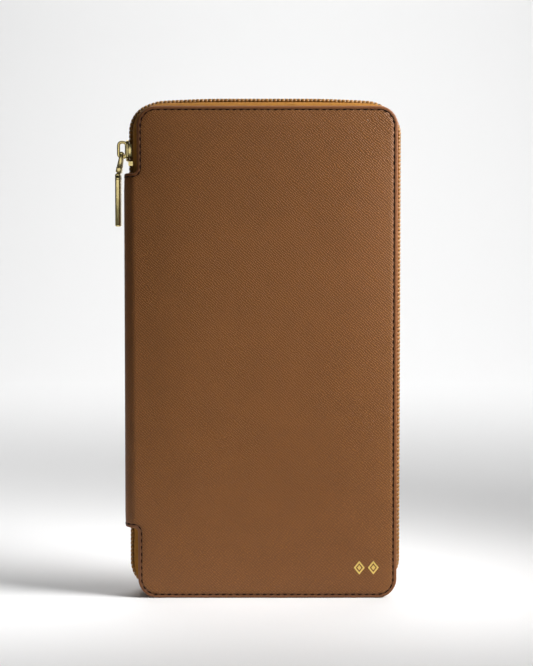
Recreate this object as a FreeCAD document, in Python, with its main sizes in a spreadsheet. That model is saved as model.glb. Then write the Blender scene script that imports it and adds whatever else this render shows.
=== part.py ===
# Zip around travel wallet, closed and standing on its short edge.
#
# Frame: millimetres, +Z up the long side, +X from the spine to the free edges, -Y towards the front cover.
# Origin: bottom centre of the closed wallet, zip pull included.
#
# A "depth" is measured inwards from a cover's outer face. A "reach" is measured outwards from the outline
# of the covers, so the zip's bulge past the covers is a positive reach.
# FRONT and REAR give the side of the wallet's middle plane that a piece lies on.
import FreeCAD
import Part
import Sketcher
import math
import os

FRONT = -1
REAR = 1
CARD_SLOTS_PER_BANK = 4
ORIGIN_POINT = (-1, 1)

DIMENSIONS = [
    ("cover_width", 121.5, "fold line to the free edge of a cover"),
    ("cover_height", 230, "bottom edge to top edge of a cover"),
    ("body_depth", 25, "outer face to outer face"),
    ("corner_radius", 9, "corners of the covers"),
    ("fold_x", -56.4, "fold line between the spine and the covers"),
    ("fold_gap", 0.3, "slack left between the pieces on each side of a fold"),
    ("spine_reach", 6, "fold line to the spine's face, and the radius of the spine's bends"),
    ("spine_low", 33, "lower end of the spine leather"),
    ("spine_high", "=cover_height-31", "upper end of the spine leather"),
    ("leather", 1.0, "outer leather"),
    ("turned_edge", 1.6, "width of the leather folded round the edge of the board"),
    ("edge_round", 0.6, "rounding of the turned edge"),
    ("board", 1.2, "stiffener board in a cover"),
    ("board_slack", 0.1, "gap round the board"),
    ("lining", 0.6, "inner facing of a cover"),
    ("lining_inset", 1.6, "cover outline to the edge of the lining"),
    ("zip_tape", 0.5, "thickness of the main zip's tape"),
    ("tape_inset", 0.4, "cover outline to where the tape comes out"),
    ("tape_seam", 7.5, "width of the tape sewn into a cover"),
    ("bulge_left", 2.4, "reach of the tape beside the spine"),
    ("bulge_right", 0.2, "reach of the tape along the free edges"),
    ("bulge_top", 2.5, "reach of the tape along the top"),
    ("bulge_bottom", -2.1, "reach of the tape along the bottom, drawn in so that the covers stand"),
    ("shoulder", 0.85, "share of the bulge that the tape has at its shoulder"),
    ("shoulder_place", 0.45, "place of the shoulder, as a share of the way from chain to cover"),
    ("chain_gap", 0.4, "middle plane to the nearest coil and tape"),
    ("chain_flat", 4.2, "half the width over which the tape lies flat under the chain"),
    ("coil_width", 2.5, "one coil, across the chain"),
    ("coil_height", 1.8, "one coil, proud of the tape"),
    ("coil_corner", 12, "corner radius of the chain"),
    ("tape_tuck", 5, "length of the tape tucked under the spine leather"),
    ("tuck_slack", 1, "tucked tape to the spine's board and lining"),
    ("spine_board", 0.8, "stiffener in the spine"),
    ("spine_lining", 0.5, "inner facing of the spine"),
    ("stop_length", 2, "top stop, along the chain"),
    ("stop_proud", 0.35, "top stop past the coil that it is crimped on"),
    ("slider_height", "=cover_height-20", "middle of the parked slider"),
    ("stop_gap", 0.1, "slider to the stop beside it"),
    ("flange_share", 0.6, "share of a slider's length that has flanges"),
    ("wing_round", 0.25, "corner radius of a wing, as a share of its width"),
    ("slider_length", 10, "slider, along the chain"),
    ("slider_width", 8.6, "slider, across the chain"),
    ("slider_wing", 1.2, "thickness of a slider wing"),
    ("slider_clearance", 0.2, "slider to coil and tape"),
    ("slider_post", 0.25, "half the thickness of the slider's post"),
    ("slider_post_length", 5, "length of the slider's post"),
    ("bridge_low", -3.7, "lower end of the bridge, from the slider's middle"),
    ("bridge_high", 4.8, "upper end of the bridge, from the slider's middle"),
    ("bridge_reach", 4.5, "bridge proud of the slider's wing"),
    ("bridge_strand", 1.4, "thickness of the bridge"),
    ("bridge_width", 2.5, "bridge, across the chain"),
    ("bridge_corner", 2.2, "outer corner radius of the bridge"),
    ("eye_radius", 0.65, "the link's cross bar"),
    ("eye_out", 2.2, "cross bar's axis past the slider's wing"),
    ("eye_low", -1.4, "cross bar's axis, from the slider's middle"),
    ("link_length", 10.55, "cross bar's axis to the pin's axis"),
    ("link_tilt", 9.8, "lean of the link, away from the spine, in degrees"),
    ("link_arm", 1.2, "width of an arm"),
    ("link_arm_half", 1.0, "half the thickness of an arm"),
    ("link_slack", 0.35, "arm to bridge"),
    ("collar_top", 6.3, "cross bar's axis to the top of the collar"),
    ("collar_low", 9.0, "cross bar's axis to the foot of the collar"),
    ("collar_half", 1.35, "half the thickness of the collar"),
    ("tongue_half", 1.0, "half the width of the tongue, and its end radius"),
    ("pin_radius", 0.5, "hinge pin between link and bar"),
    ("pin_clearance", 0.05, "pin to the bar's holes"),
    ("bar_length", 23.8, "pin's axis to the end of the bar"),
    ("bar_width", 7, "bar, across the chain"),
    ("bar_half", 1.05, "half the thickness of the bar, and its end radius"),
    ("fork_slack", 0.15, "tongue to fork, each side"),
    ("fork_depth", 1.5, "pin's axis to the bottom of the fork"),
    ("bar_edge", 0.3, "rounding of the bar's edges"),
    ("pocket_left", 10, "fold line to the inner pockets"),
    ("pocket_right", 4, "free edge to the inner pockets"),
    ("pocket_low", 6, "bottom edge to the inner pockets"),
    ("pocket_corner", 3, "corners of the inner pockets"),
    ("pocket_leather", 0.8, "leather of the inner pockets"),
    ("slip_top", "=cover_height-18", "top of the slip pocket"),
    ("card_leather", 0.6, "leather of a card slot"),
    ("card_width", 98, "width of the card slots"),
    ("card_inset", 12, "fold line to the card slots"),
    ("card_depth", "=cover_height/5", "depth of the front card slot"),
    ("card_step", 12, "step from one card slot to the next"),
    ("card_corner", 2, "corners of a card slot"),
    ("low_bank", 14, "bottom of the lower bank of card slots"),
    ("high_bank", "=cover_height/2-3", "bottom of the upper bank of card slots"),
    ("pouch_top", "=cover_height-8", "top of the zipped pouch"),
    ("pouch_depth", 5.4, "zipped pouch, front to back"),
    ("pouch_wall", 0.4, "cloth of the zipped pouch"),
    ("passport_top", 118, "top of the passport pocket"),
    ("thumb_radius", 11, "thumb cut in the passport pocket"),
    ("inner_zip_z", "=cover_height-24", "height of the inner zip"),
    ("inner_slot", 3.6, "half the gap between the panels at the inner zip"),
    ("inner_tape", 0.4, "thickness of the inner zip's tape"),
    ("inner_tape_width", 9, "inner zip's middle to the edge of its tape"),
    ("inner_tape_inset", 1, "side of the pouch to the end of the inner tape"),
    ("inner_gap", 0.35, "inner zip's middle to its nearest coil"),
    ("inner_coil_width", 1.65, "one inner coil, across the chain"),
    ("inner_coil_height", 1.3, "one inner coil, proud of the tape"),
    ("inner_stop", 1.5, "length of an inner zip's stop"),
    ("inner_slider_length", 8, "inner slider, along its chain"),
    ("inner_slider_width", 6.4, "inner slider, across its chain"),
    ("inner_wing", 0.9, "thickness of an inner slider wing"),
    ("inner_clearance", 0.15, "inner slider to coil and tape"),
    ("inner_post", 0.2, "half the thickness of the inner slider's post"),
    ("inner_post_length", 4, "length of the inner slider's post"),
    ("inner_bridge_end", 2.7, "each end of the inner bridge, from the slider's middle"),
    ("inner_bridge_reach", 2.7, "inner bridge proud of its wing"),
    ("inner_bridge_strand", 1.0, "thickness of the inner bridge"),
    ("inner_bridge_width", 1.8, "inner bridge, across the chain"),
    ("inner_bridge_corner", 1.4, "outer corner radius of the inner bridge"),
    ("inner_eye_out", 0.95, "inner pull's axis past the wing"),
    ("inner_eye_low", -0.9, "inner pull's axis, from the slider's middle"),
    ("inner_eye_half", 0.45, "half the thickness of the inner pull's cross bar"),
    ("inner_pull_length", 8.4, "inner pull's axis to its end"),
    ("inner_pull_width", 5, "width of the inner pull"),
    ("inner_pull_half", 0.5, "half the thickness of the inner pull"),
    ("inner_window", 2.6, "length of the window that the inner bridge passes through"),
    ("window_slack", 0.3, "inner bridge to each side of its window"),
    ("tab_round", 0.45, "end radius of the inner pull, as a share of its width"),
]

document = FreeCAD.newDocument("zip_around_wallet")
sheet = document.addObject("Spreadsheet::Sheet", "dims")
nodes = []


# ---------------------------------------------------------------- sheet and expressions


def fill_sheet():
    """Writes each driving dimension to the sheet, with its alias and what it measures."""
    for row, (alias, value, note) in enumerate(DIMENSIONS, start=1):
        sheet.set(f"A{row}", alias)
        sheet.set(f"B{row}", str(value))
        sheet.set(f"C{row}", note)
        sheet.setAlias(f"B{row}", alias)
    document.recompute()


def dims(text):
    """The expression with each alias of the sheet written as a reference to it."""
    out = []
    word = ""
    for letter in text + " ":
        if letter.isalnum() or letter == "_":
            word += letter
            continue
        out.append("dims." + word if word in ALIASES else word)
        out.append(letter)
        word = ""
    return "".join(out).strip()


def number(text):
    """The value that an expression has now, in millimetres."""
    value = sheet.evalExpression(dims(text))
    return float(getattr(value, "Value", value))


def bind(thing, **expressions):
    """Binds properties to expressions. A double underscore in a name stands for a dot."""
    for name, text in expressions.items():
        thing.setExpression(name.replace("__", "."), dims(text))
    return thing


def place(thing, x="0", y="0", z="0"):
    """Binds the position of a thing."""
    return bind(thing, Placement__Base__x=x, Placement__Base__y=y, Placement__Base__z=z)


def node(thing, label):
    """Names a finished sub-part, which is written to its own file."""
    thing.Label = label
    nodes.append(thing)
    return thing


# ---------------------------------------------------------------- sketches


def add_rounded_loop(sketch, tag, left, right, bottom, top, radius):
    """Adds a rounded rectangle whose sides and corner radius follow expressions."""
    low_x, high_x, low_y, high_y, corner = (number(e) for e in (left, right, bottom, top, radius))
    up = FreeCAD.Vector(0, 0, 1)
    first = sketch.GeometryCount

    def line(x_a, y_a, x_b, y_b):
        return Part.LineSegment(FreeCAD.Vector(x_a, y_a, 0), FreeCAD.Vector(x_b, y_b, 0))

    def arc(x, y, quarter):
        circle = Part.Circle(FreeCAD.Vector(x, y, 0), up, corner)
        return Part.ArcOfCircle(circle, quarter * math.pi / 2, (quarter + 1) * math.pi / 2)

    sketch.addGeometry([
        line(low_x + corner, low_y, high_x - corner, low_y),
        arc(high_x - corner, low_y + corner, -1),
        line(high_x, low_y + corner, high_x, high_y - corner),
        arc(high_x - corner, high_y - corner, 0),
        line(high_x - corner, high_y, low_x + corner, high_y),
        arc(low_x + corner, high_y - corner, 1),
        line(low_x, high_y - corner, low_x, low_y + corner),
        arc(low_x + corner, low_y + corner, 2),
    ], False)
    constraints = [
        Sketcher.Constraint("Tangent", first + k, 2, first + (k + 1) % 8, 1) for k in range(8)
    ]
    constraints += [Sketcher.Constraint("Horizontal", first + k) for k in (0, 4)]
    constraints += [Sketcher.Constraint("Vertical", first + k) for k in (2, 6)]
    constraints += [Sketcher.Constraint("Equal", first + 1, first + k) for k in (3, 5, 7)]
    sketch.addConstraint(constraints)
    driven = [
        ("radius", Sketcher.Constraint("Radius", first + 1, corner), radius),
        ("left", Sketcher.Constraint("DistanceX", *ORIGIN_POINT, first + 6, 1, low_x), left),
        ("right", Sketcher.Constraint("DistanceX", *ORIGIN_POINT, first + 2, 1, high_x), right),
        ("bottom", Sketcher.Constraint("DistanceY", *ORIGIN_POINT, first, 1, low_y), bottom),
        ("top", Sketcher.Constraint("DistanceY", *ORIGIN_POINT, first + 4, 1, high_y), top),
    ]
    for name, constraint, text in driven:
        index = sketch.addConstraint(constraint)
        sketch.renameConstraint(index, f"{tag}_{name}")
        sketch.setExpression(f"Constraints.{tag}_{name}", dims(text))
    return sketch


def front_view_sketch(name, y):
    """A free sketch parallel to the covers, at height y through the wallet's depth."""
    sketch = document.addObject("Sketcher::SketchObject", name)
    sketch.Placement = FreeCAD.Placement(FreeCAD.Vector(), FreeCAD.Rotation(FreeCAD.Vector(1, 0, 0), 90))
    bind(sketch, Placement__Base__y=y)
    return sketch


def outline_at(reach_left, reach_right, reach_bottom, reach_top):
    """Left, right, bottom and top of the covers' outline moved outwards by four reaches."""
    return (
        f"fold_x-({reach_left})",
        f"fold_x+cover_width+({reach_right})",
        f"-({reach_bottom})",
        f"cover_height+({reach_top})",
    )


def pocket_outline(top):
    """Left, right, bottom and top of the pockets inside a cover."""
    return (
        "fold_x+pocket_left",
        "fold_x+cover_width-pocket_right",
        "pocket_low",
        top,
    )


# ---------------------------------------------------------------- bodies made with PartDesign


def body_plane(body, role):
    """One of a body's own origin planes."""
    return next(f for f in body.Origin.OriginFeatures if f.Role == role)


def body_sketch(body, name, side, depth):
    """A sketch in a body, parallel to a cover and at a depth inside the cover's outer face."""
    sketch = body.newObject("Sketcher::SketchObject", name)
    sketch.AttachmentSupport = (body_plane(body, "XZ_Plane"), "")
    sketch.MapMode = "FlatFace"
    offset = f"body_depth/2-({depth})" if side == FRONT else f"({depth})-body_depth/2"
    bind(sketch, AttachmentOffset__Base__z=offset)
    return sketch


def sheet_body(label, side, depth, thickness, sides, radius):
    """A flat sheet of material inside a cover, as a padded outline. Gives the body and its pad."""
    body = document.addObject("PartDesign::Body", label)
    sketch = body_sketch(body, label + "_outline", side, depth)
    add_rounded_loop(sketch, "edge", *sides, radius)
    pad = body.newObject("PartDesign::Pad", label + "_pad")
    pad.Profile = sketch
    pad.Reversed = side == FRONT
    bind(pad, Length=thickness)
    document.recompute()
    return node(body, label), pad


def cut_pocket(body, label, sketch, side, depth_of_cut):
    """Cuts a sketch that lies on a sheet's inner face, towards the cover's outer face."""
    before = body.Shape.Volume
    pocket = body.newObject("PartDesign::Pocket", label)
    pocket.Profile = sketch
    pocket.Reversed = side == FRONT
    bind(pocket, Length=depth_of_cut)
    document.recompute()
    if not body.Shape.Volume < before:
        raise RuntimeError(f"{label} cuts nothing")
    return pocket


def cover_leather(label, side):
    """Outer leather of a cover: one skin with its edge turned round the board."""
    sides = outline_at("-fold_gap/2", "0", "0", "0")
    body, _ = sheet_body(label, side, "0", "leather+board", sides, "corner_radius")
    recess = body_sketch(body, label + "_recess", side, "leather+board")
    inner = outline_at("-fold_gap/2-turned_edge", "-turned_edge", "-turned_edge", "-turned_edge")
    add_rounded_loop(recess, "recess", *inner, "corner_radius-turned_edge")
    pocket = cut_pocket(body, label + "_board_recess", recess, side, "board")
    outer_y = side * number("body_depth") / 2
    rim = [
        f"Edge{i}"
        for i, edge in enumerate(pocket.Shape.Edges, start=1)
        if all(abs(v.Point.y - outer_y) < 1e-4 for v in edge.Vertexes)
    ]
    fillet = body.newObject("PartDesign::Fillet", label + "_rounded_edge")
    fillet.Base = (pocket, rim)
    bind(fillet, Radius="edge_round")
    document.recompute()


def cover_board(label, side):
    """Stiffener board, wrapped by the leather's turned edge."""
    inset = "-turned_edge-board_slack"
    sides = outline_at(f"-fold_gap/2{inset}", inset, inset, inset)
    sheet_body(label, side, "leather", "board", sides, "corner_radius-turned_edge-board_slack")


def cover_padding(label, side):
    """Thin foam that fills the sandwich inside the zip tape's seam."""
    inset = "-tape_seam-board_slack"
    sides = outline_at(inset, inset, inset, inset)
    sheet_body(label, side, "leather+board", "zip_tape", sides, "corner_radius/2")


def cover_lining(label, side):
    """Inner facing of a cover, sewn over the zip tape."""
    inset = "-lining_inset"
    sides = outline_at(inset, inset, inset, inset)
    sheet_body(label, side, "leather+board+zip_tape", "lining", sides, "corner_radius-lining_inset")


def build_cover(side, word):
    """The four layers of one cover."""
    cover_leather(f"{word}_cover_leather", side)
    cover_board(f"{word}_cover_board", side)
    cover_padding(f"{word}_cover_padding", side)
    cover_lining(f"{word}_cover_lining", side)


# ---------------------------------------------------------------- pieces made with Part


def extrusion(name, sketch, length, reverse=False):
    """A solid from a sketch, along its normal or against it."""
    solid = document.addObject("Part::Extrusion", name)
    solid.Base = sketch
    solid.DirMode = "Normal"
    solid.Solid = True
    solid.Reversed = reverse
    solid.FaceMakerClass = "Part::FaceMakerBullseye"
    return bind(solid, LengthFwd=length)


def box(name, x, y, z, length, width, height):
    """A box from its low corner and its sizes along X, Y and Z."""
    solid = document.addObject("Part::Box", name)
    bind(solid, Length=length, Width=width, Height=height)
    return place(solid, x, y, z)


def cylinder_along_y(name, radius, length, x="0", z="0"):
    """A cylinder centred on the XZ plane, along Y."""
    solid = document.addObject("Part::Cylinder", name)
    solid.Placement = FreeCAD.Placement(FreeCAD.Vector(), FreeCAD.Rotation(FreeCAD.Vector(1, 0, 0), 90))
    bind(solid, Radius=radius, Height=length)
    return place(solid, x, f"({length})/2", z)


def cut(name, base, tool):
    """The base less the tool."""
    result = document.addObject("Part::Cut", name)
    result.Base = base
    result.Tool = tool
    return result


def common(name, base, tool):
    """What the base and the tool share."""
    result = document.addObject("Part::Common", name)
    result.Base = base
    result.Tool = tool
    return result


def fuse(name, shapes):
    """Several shapes as one."""
    result = document.addObject("Part::MultiFuse", name)
    result.Shapes = shapes
    result.Refine = True
    return result


def loft(name, sections):
    """A straight-sided solid through closed sketches."""
    result = document.addObject("Part::Loft", name)
    result.Sections = sections
    result.Solid = True
    result.Ruled = True
    return result


# ---------------------------------------------------------------- spine


def spine_shell(label, radius, thickness, low, high):
    """A C-shaped sheet round the inside of the spine's bends, from height low to height high."""
    centre_x = number("fold_x-fold_gap/2")
    centre_y = number("body_depth/2-spine_reach")
    outer = number(radius)
    inner = outer - number(thickness)
    body = document.addObject("PartDesign::Body", label)
    sketch = body.newObject("Sketcher::SketchObject", label + "_section")
    sketch.AttachmentSupport = (body_plane(body, "XY_Plane"), "")
    sketch.MapMode = "FlatFace"
    bind(sketch, AttachmentOffset__Base__z=low)
    up = FreeCAD.Vector(0, 0, 1)

    def line(x_a, y_a, x_b, y_b):
        return Part.LineSegment(FreeCAD.Vector(x_a, y_a, 0), FreeCAD.Vector(x_b, y_b, 0))

    def arc(side, size):
        circle = Part.Circle(FreeCAD.Vector(centre_x, side * centre_y, 0), up, size)
        first = math.pi if side == FRONT else math.pi / 2
        return Part.ArcOfCircle(circle, first, first + math.pi / 2)

    sketch.addGeometry([
        arc(FRONT, outer),
        line(centre_x, -centre_y - outer, centre_x, -centre_y - inner),
        arc(FRONT, inner),
        line(centre_x - inner, -centre_y, centre_x - inner, centre_y),
        arc(REAR, inner),
        line(centre_x, centre_y + inner, centre_x, centre_y + outer),
        arc(REAR, outer),
        line(centre_x - outer, centre_y, centre_x - outer, -centre_y),
    ], False)
    joins = [
        ("Coincident", 0, 2, 1, 1),
        ("Coincident", 1, 2, 2, 2),
        ("Tangent", 2, 1, 3, 1),
        ("Tangent", 3, 2, 4, 2),
        ("Coincident", 4, 1, 5, 1),
        ("Coincident", 5, 2, 6, 1),
        ("Tangent", 6, 2, 7, 1),
        ("Tangent", 7, 2, 0, 1),
        ("Vertical", 1),
        ("Vertical", 5),
        ("Vertical", 7),
        ("Coincident", 0, 3, 2, 3),
        ("Coincident", 4, 3, 6, 3),
        ("Equal", 0, 6),
        ("Vertical", 0, 3, 0, 2),
        ("Vertical", 6, 3, 6, 1),
    ]
    sketch.addConstraint([Sketcher.Constraint(*join) for join in joins])
    driven = [
        ("outer_radius", Sketcher.Constraint("Radius", 0, outer), radius),
        ("inner_radius", Sketcher.Constraint("Radius", 2, inner), f"({radius})-({thickness})"),
        (
            "centre_x",
            Sketcher.Constraint("DistanceX", *ORIGIN_POINT, 0, 3, centre_x),
            "fold_x-fold_gap/2",
        ),
        (
            "front_centre",
            Sketcher.Constraint("DistanceY", *ORIGIN_POINT, 0, 3, -centre_y),
            "spine_reach-body_depth/2",
        ),
        (
            "rear_centre",
            Sketcher.Constraint("DistanceY", *ORIGIN_POINT, 6, 3, centre_y),
            "body_depth/2-spine_reach",
        ),
    ]
    for name, constraint, text in driven:
        index = sketch.addConstraint(constraint)
        sketch.renameConstraint(index, name)
        sketch.setExpression(f"Constraints.{name}", dims(text))
    pad = body.newObject("PartDesign::Pad", label + "_pad")
    pad.Profile = sketch
    bind(pad, Length=f"({high})-({low})")
    document.recompute()
    return node(body, label)


def build_spine():
    """Spine leather, its board and its lining."""
    inner_low = "spine_low+tape_tuck+tuck_slack"
    inner_high = "spine_high-tape_tuck-tuck_slack"
    spine_shell("spine_leather", "spine_reach", "leather", "spine_low", "spine_high")
    board = box(
        "spine_board",
        "fold_x-fold_gap/2-spine_reach+leather",
        "spine_reach-body_depth/2",
        inner_low,
        "spine_board",
        "body_depth-2*spine_reach",
        f"({inner_high})-({inner_low})",
    )
    node(board, "spine_board")
    spine_shell(
        "spine_lining", "spine_reach-leather-spine_board", "spine_lining", inner_low, inner_high
    )


# ---------------------------------------------------------------- main zip


def ring(name, side, near, far, outer, outer_radius, inner, inner_radius):
    """A flat ring between two outlines, from distance near to distance far off the middle plane."""
    sketch = front_view_sketch(name + "_outlines", f"{side}*({near})")
    add_rounded_loop(sketch, "outer", *outer, outer_radius)
    add_rounded_loop(sketch, "inner", *inner, inner_radius)
    return extrusion(name, sketch, f"({far})-({near})", reverse=side == REAR)


def bulge_loft(name, side, thinner):
    """The solid inside the zip's bulge, less a thickness all round."""
    cover_level = "body_depth/2-leather-board"
    shoulder_level = f"chain_flat+({cover_level}-chain_flat)*shoulder_place"
    levels = [
        (cover_level, "-tape_inset", None, "corner_radius-tape_inset"),
        (shoulder_level, "shoulder", "bulge", "(corner_radius+coil_corner)/2"),
        ("chain_flat", "1", "bulge", "coil_corner"),
        ("chain_gap", "1", "bulge", "coil_corner"),
    ]
    sections = []
    for k, (level, share, kind, radius) in enumerate(levels):
        if kind is None:
            reaches = [f"{share}-({thinner})"] * 4
        else:
            reaches = [
                f"{share}*bulge_{word}-({thinner})" for word in ("left", "right", "bottom", "top")
            ]
        sketch = front_view_sketch(f"{name}_level_{k}", f"{side}*({level})")
        add_rounded_loop(sketch, "edge", *outline_at(*reaches), f"{radius}-({thinner})")
        sections.append(sketch)
    return loft(name, sections)


def split_box(name, cover_side):
    """A box that holds everything on one side of the fold line."""
    reach = "2*cover_height"
    x = "fold_x+fold_gap/2" if cover_side else f"fold_x-fold_gap/2-{reach}"
    return box(name, x, "-body_depth", "-cover_height/2", reach, "2*body_depth", reach)


def spine_window(name, width_left, width_right):
    """A box over the stretch that the spine leather closes, which has no zip."""
    low = "spine_low+tape_tuck"
    return box(
        name,
        f"fold_x-({width_left})",
        "-body_depth",
        low,
        f"({width_left})+({width_right})",
        "2*body_depth",
        f"spine_high-tape_tuck-({low})",
    )


def split_at_fold(whole, word, what):
    """Parts a zip half into its run on the cover and its two ends beside the spine."""
    run = common(f"{word}_{what}_run", whole, split_box(f"{word}_{what}_cover_side", True))
    run = cut(
        f"{word}_{what}_on_cover",
        run,
        spine_window(f"{word}_{what}_inner_window", "1", "tape_seam+1"),
    )
    ends = common(f"{word}_{what}_left", whole, split_box(f"{word}_{what}_spine_side", False))
    ends = cut(
        f"{word}_{what}_beside_spine",
        ends,
        spine_window(f"{word}_{what}_outer_window", "2*spine_reach", "1"),
    )
    return run, ends


def zip_tape_half(side, word):
    """One tape: sewn flat into its cover, then curved out and round to the chain."""
    outer = bulge_loft(f"{word}_tape_outside", side, "0")
    inner = bulge_loft(f"{word}_tape_inside", side, "zip_tape")
    wall = cut(f"{word}_tape_wall", outer, inner)
    inset = outline_at(*["-tape_inset-zip_tape/2"] * 4)
    seam = outline_at(*["-tape_seam"] * 4)
    flange = ring(
        f"{word}_tape_seam",
        side,
        "body_depth/2-leather-board-zip_tape",
        "body_depth/2-leather-board",
        inset,
        "corner_radius-tape_inset-zip_tape/2",
        seam,
        "corner_radius/2",
    )
    whole = fuse(f"{word}_tape_whole", [wall, flange])
    run, ends = split_at_fold(whole, word, "tape")
    node(run, f"{word}_zip_tape")
    node(ends, f"{word}_tape_ends")


def stop_solids():
    """Two top stops below the parked slider, and one clip over both coils at the far end."""
    base_x = "fold_x-bulge_left-coil_height-stop_proud"
    top = "slider_height-slider_length/2-stop_gap"
    tops = [
        box(
            f"{word}_top_stop",
            base_x,
            start,
            f"{top}-stop_length",
            "coil_height+stop_proud",
            "coil_width+stop_proud",
            "stop_length",
        )
        for word, start in (("front", "-chain_gap-coil_width-stop_proud"), ("rear", "chain_gap"))
    ]
    clip = box(
        "bottom_clip",
        base_x,
        "-chain_gap-coil_width-stop_proud",
        "spine_low+tape_tuck-stop_length-tuck_slack",
        "coil_height+stop_proud",
        "2*(chain_gap+coil_width+stop_proud)",
        "stop_length",
    )
    pair = document.addObject("Part::Compound", "top_stop_pair")
    pair.Links = tops
    return pair, clip


def zip_coil_half(side, word, stops):
    """One coil, as the bead that its turns fill, on the outer face of its tape."""
    reaches = [f"bulge_{w}+coil_height" for w in ("left", "right", "bottom", "top")]
    seats = [f"bulge_{w}" for w in ("left", "right", "bottom", "top")]
    whole = ring(
        f"{word}_coil_whole",
        side,
        "chain_gap",
        "chain_gap+coil_width",
        outline_at(*reaches),
        "coil_corner+coil_height",
        outline_at(*seats),
        "coil_corner",
    )
    run, ends = split_at_fold(whole, word, "coil")
    node(run, f"{word}_zip_coil")
    node(cut(f"{word}_coil_between_stops", ends, stops), f"{word}_coil_ends")


def build_main_zip():
    """Both halves of the zip round three sides, with its stops."""
    top_stops, clip = stop_solids()
    stops = fuse("all_stops", [top_stops, clip])
    for side, word in ((FRONT, "front"), (REAR, "rear")):
        zip_tape_half(side, word)
        zip_coil_half(side, word, stops)
    node(top_stops, "zip_top_stops")
    node(clip, "zip_bottom_stop")


# ---------------------------------------------------------------- sliders and pulls
#
# A slider and its pull are built in the chain's own frame and then turned into place:
# X out of the tape, Y across the chain, Z along it, with the origin on the tape's face.


def side_loop_sketch(name, width):
    """A free sketch in the chain frame's XZ plane, at the far side of a width."""
    return front_view_sketch(name, f"({width})/2")


def zip_slider(label, size):
    """Two wings joined by a post, with flanges beside the chain and a bridge for the pull.

    size gives the expression of each measure, by name.
    """
    length = size["length"]
    width = size["width"]
    wing = size["wing"]
    clear = size["clearance"]
    wing_low = f"{size['coil_height']}+{clear}"
    floor_low = f"-{size['tape']}-{clear}-{wing}"
    flange_start = f"{size['gap']}+{size['coil_width']}+{clear}"
    outer = box(f"{label}_outer_wing", wing_low, f"-{width}/2", f"-{length}/2", wing, width, length)
    inner = box(
        f"{label}_inner_wing", floor_low, f"-{width}/2", f"-{length}/2", wing, width, length
    )
    rounded = []
    for wing_box in (outer, inner):
        document.recompute()
        corner = document.addObject("Part::Fillet", wing_box.Name + "_rounded")
        corner.Base = wing_box
        radius = number(f"{width}*wing_round")
        upright = [
            (i, radius, radius)
            for i, edge in enumerate(wing_box.Shape.Edges, start=1)
            if abs(edge.Vertexes[0].X - edge.Vertexes[-1].X) > 1e-4
        ]
        corner.Edges = upright
        rounded.append(corner)
    post = box(
        f"{label}_post",
        floor_low,
        f"-{size['post']}",
        f"-{size['post_length']}/2",
        f"{wing_low}-({floor_low})",
        f"2*{size['post']}",
        size["post_length"],
    )
    flange_thickness = f"{width}/2-({flange_start})"
    flange_height = f"{wing_low}-{clear}+{wing}/2"
    flanges = [
        box(
            f"{label}_flange_{k}",
            clear,
            start,
            f"-{length}*flange_share/2",
            flange_height,
            flange_thickness,
            f"{length}*flange_share",
        )
        for k, start in enumerate((flange_start, f"-{width}/2"))
    ]
    top = f"{wing_low}+{wing}"
    strand = size["strand"]
    sketch = side_loop_sketch(f"{label}_bridge_outline", size["bridge_width"])
    add_rounded_loop(
        sketch,
        "outer",
        f"{top}-{wing}/2",
        f"{top}+{size['bridge_reach']}",
        size["bridge_low"],
        size["bridge_high"],
        size["bridge_corner"],
    )
    add_rounded_loop(
        sketch,
        "inner",
        top,
        f"{top}+{size['bridge_reach']}-{strand}",
        f"{size['bridge_low']}+{strand}",
        f"{size['bridge_high']}-{strand}",
        f"{size['bridge_corner']}-{strand}",
    )
    bridge = extrusion(f"{label}_bridge", sketch, size["bridge_width"])
    return fuse(label, rounded + [post, *flanges, bridge])


def pull_link():
    """Cross bar under the bridge, two arms and a collar with a tongue for the bar."""
    arm_start = "bridge_width/2+link_slack"
    span = f"2*({arm_start}+link_arm)"
    eye = cylinder_along_y("link_cross_bar", "eye_radius", span)
    arms = []
    for k, start in enumerate((arm_start, f"-({arm_start})-link_arm")):
        arm = box(
            f"link_arm_{k}",
            "-link_arm_half",
            start,
            "-collar_top",
            "2*link_arm_half",
            "link_arm",
            "collar_top",
        )
        knuckle = cylinder_along_y(f"link_knuckle_{k}", "link_arm_half", "link_arm")
        place(knuckle, "0", f"{start}+link_arm", "0")
        arms += [arm, knuckle]
    collar = box(
        "link_collar",
        "-collar_half",
        f"-({span})/2",
        "-collar_low",
        "2*collar_half",
        span,
        "collar_low-collar_top",
    )
    tongue = box(
        "link_tongue",
        "-tongue_half",
        "-tongue_half",
        "-link_length",
        "2*tongue_half",
        "2*tongue_half",
        "link_length-collar_low",
    )
    tip = cylinder_along_y("link_tongue_tip", "tongue_half", "2*tongue_half", z="-link_length")
    hole = cylinder_along_y("link_pin_hole", "pin_radius", "bar_width", z="-link_length")
    whole = fuse("link_blank", [eye, *arms, collar, tongue, tip])
    return cut("link_solid", whole, hole)


def pull_bar():
    """Flat bar, forked at its top round the link's tongue. Its origin is the pin's axis."""
    blank = box(
        "bar_blank",
        "-bar_half",
        "-bar_width/2",
        "-bar_length",
        "2*bar_half",
        "bar_width",
        "bar_length",
    )
    document.recompute()
    soft = document.addObject("Part::Fillet", "bar_rounded")
    soft.Base = blank
    edge_radius = number("bar_edge")
    soft.Edges = [
        (i, edge_radius, edge_radius)
        for i, edge in enumerate(blank.Shape.Edges, start=1)
        if min(v.Z for v in edge.Vertexes) < number("-bar_length") + 1e-4
    ]
    crown = cylinder_along_y("bar_crown", "bar_half", "bar_width")
    slot = box(
        "bar_slot",
        "-2*bar_half",
        "-tongue_half-fork_slack",
        "-fork_depth",
        "4*bar_half",
        "2*(tongue_half+fork_slack)",
        "fork_depth+2*bar_half",
    )
    hole = cylinder_along_y("bar_pin_hole", "pin_radius+pin_clearance", "2*bar_width")
    solid = fuse("bar_solid", [soft, crown])
    return cut("bar_drilled", cut("bar_forked", solid, slot), hole)


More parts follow.
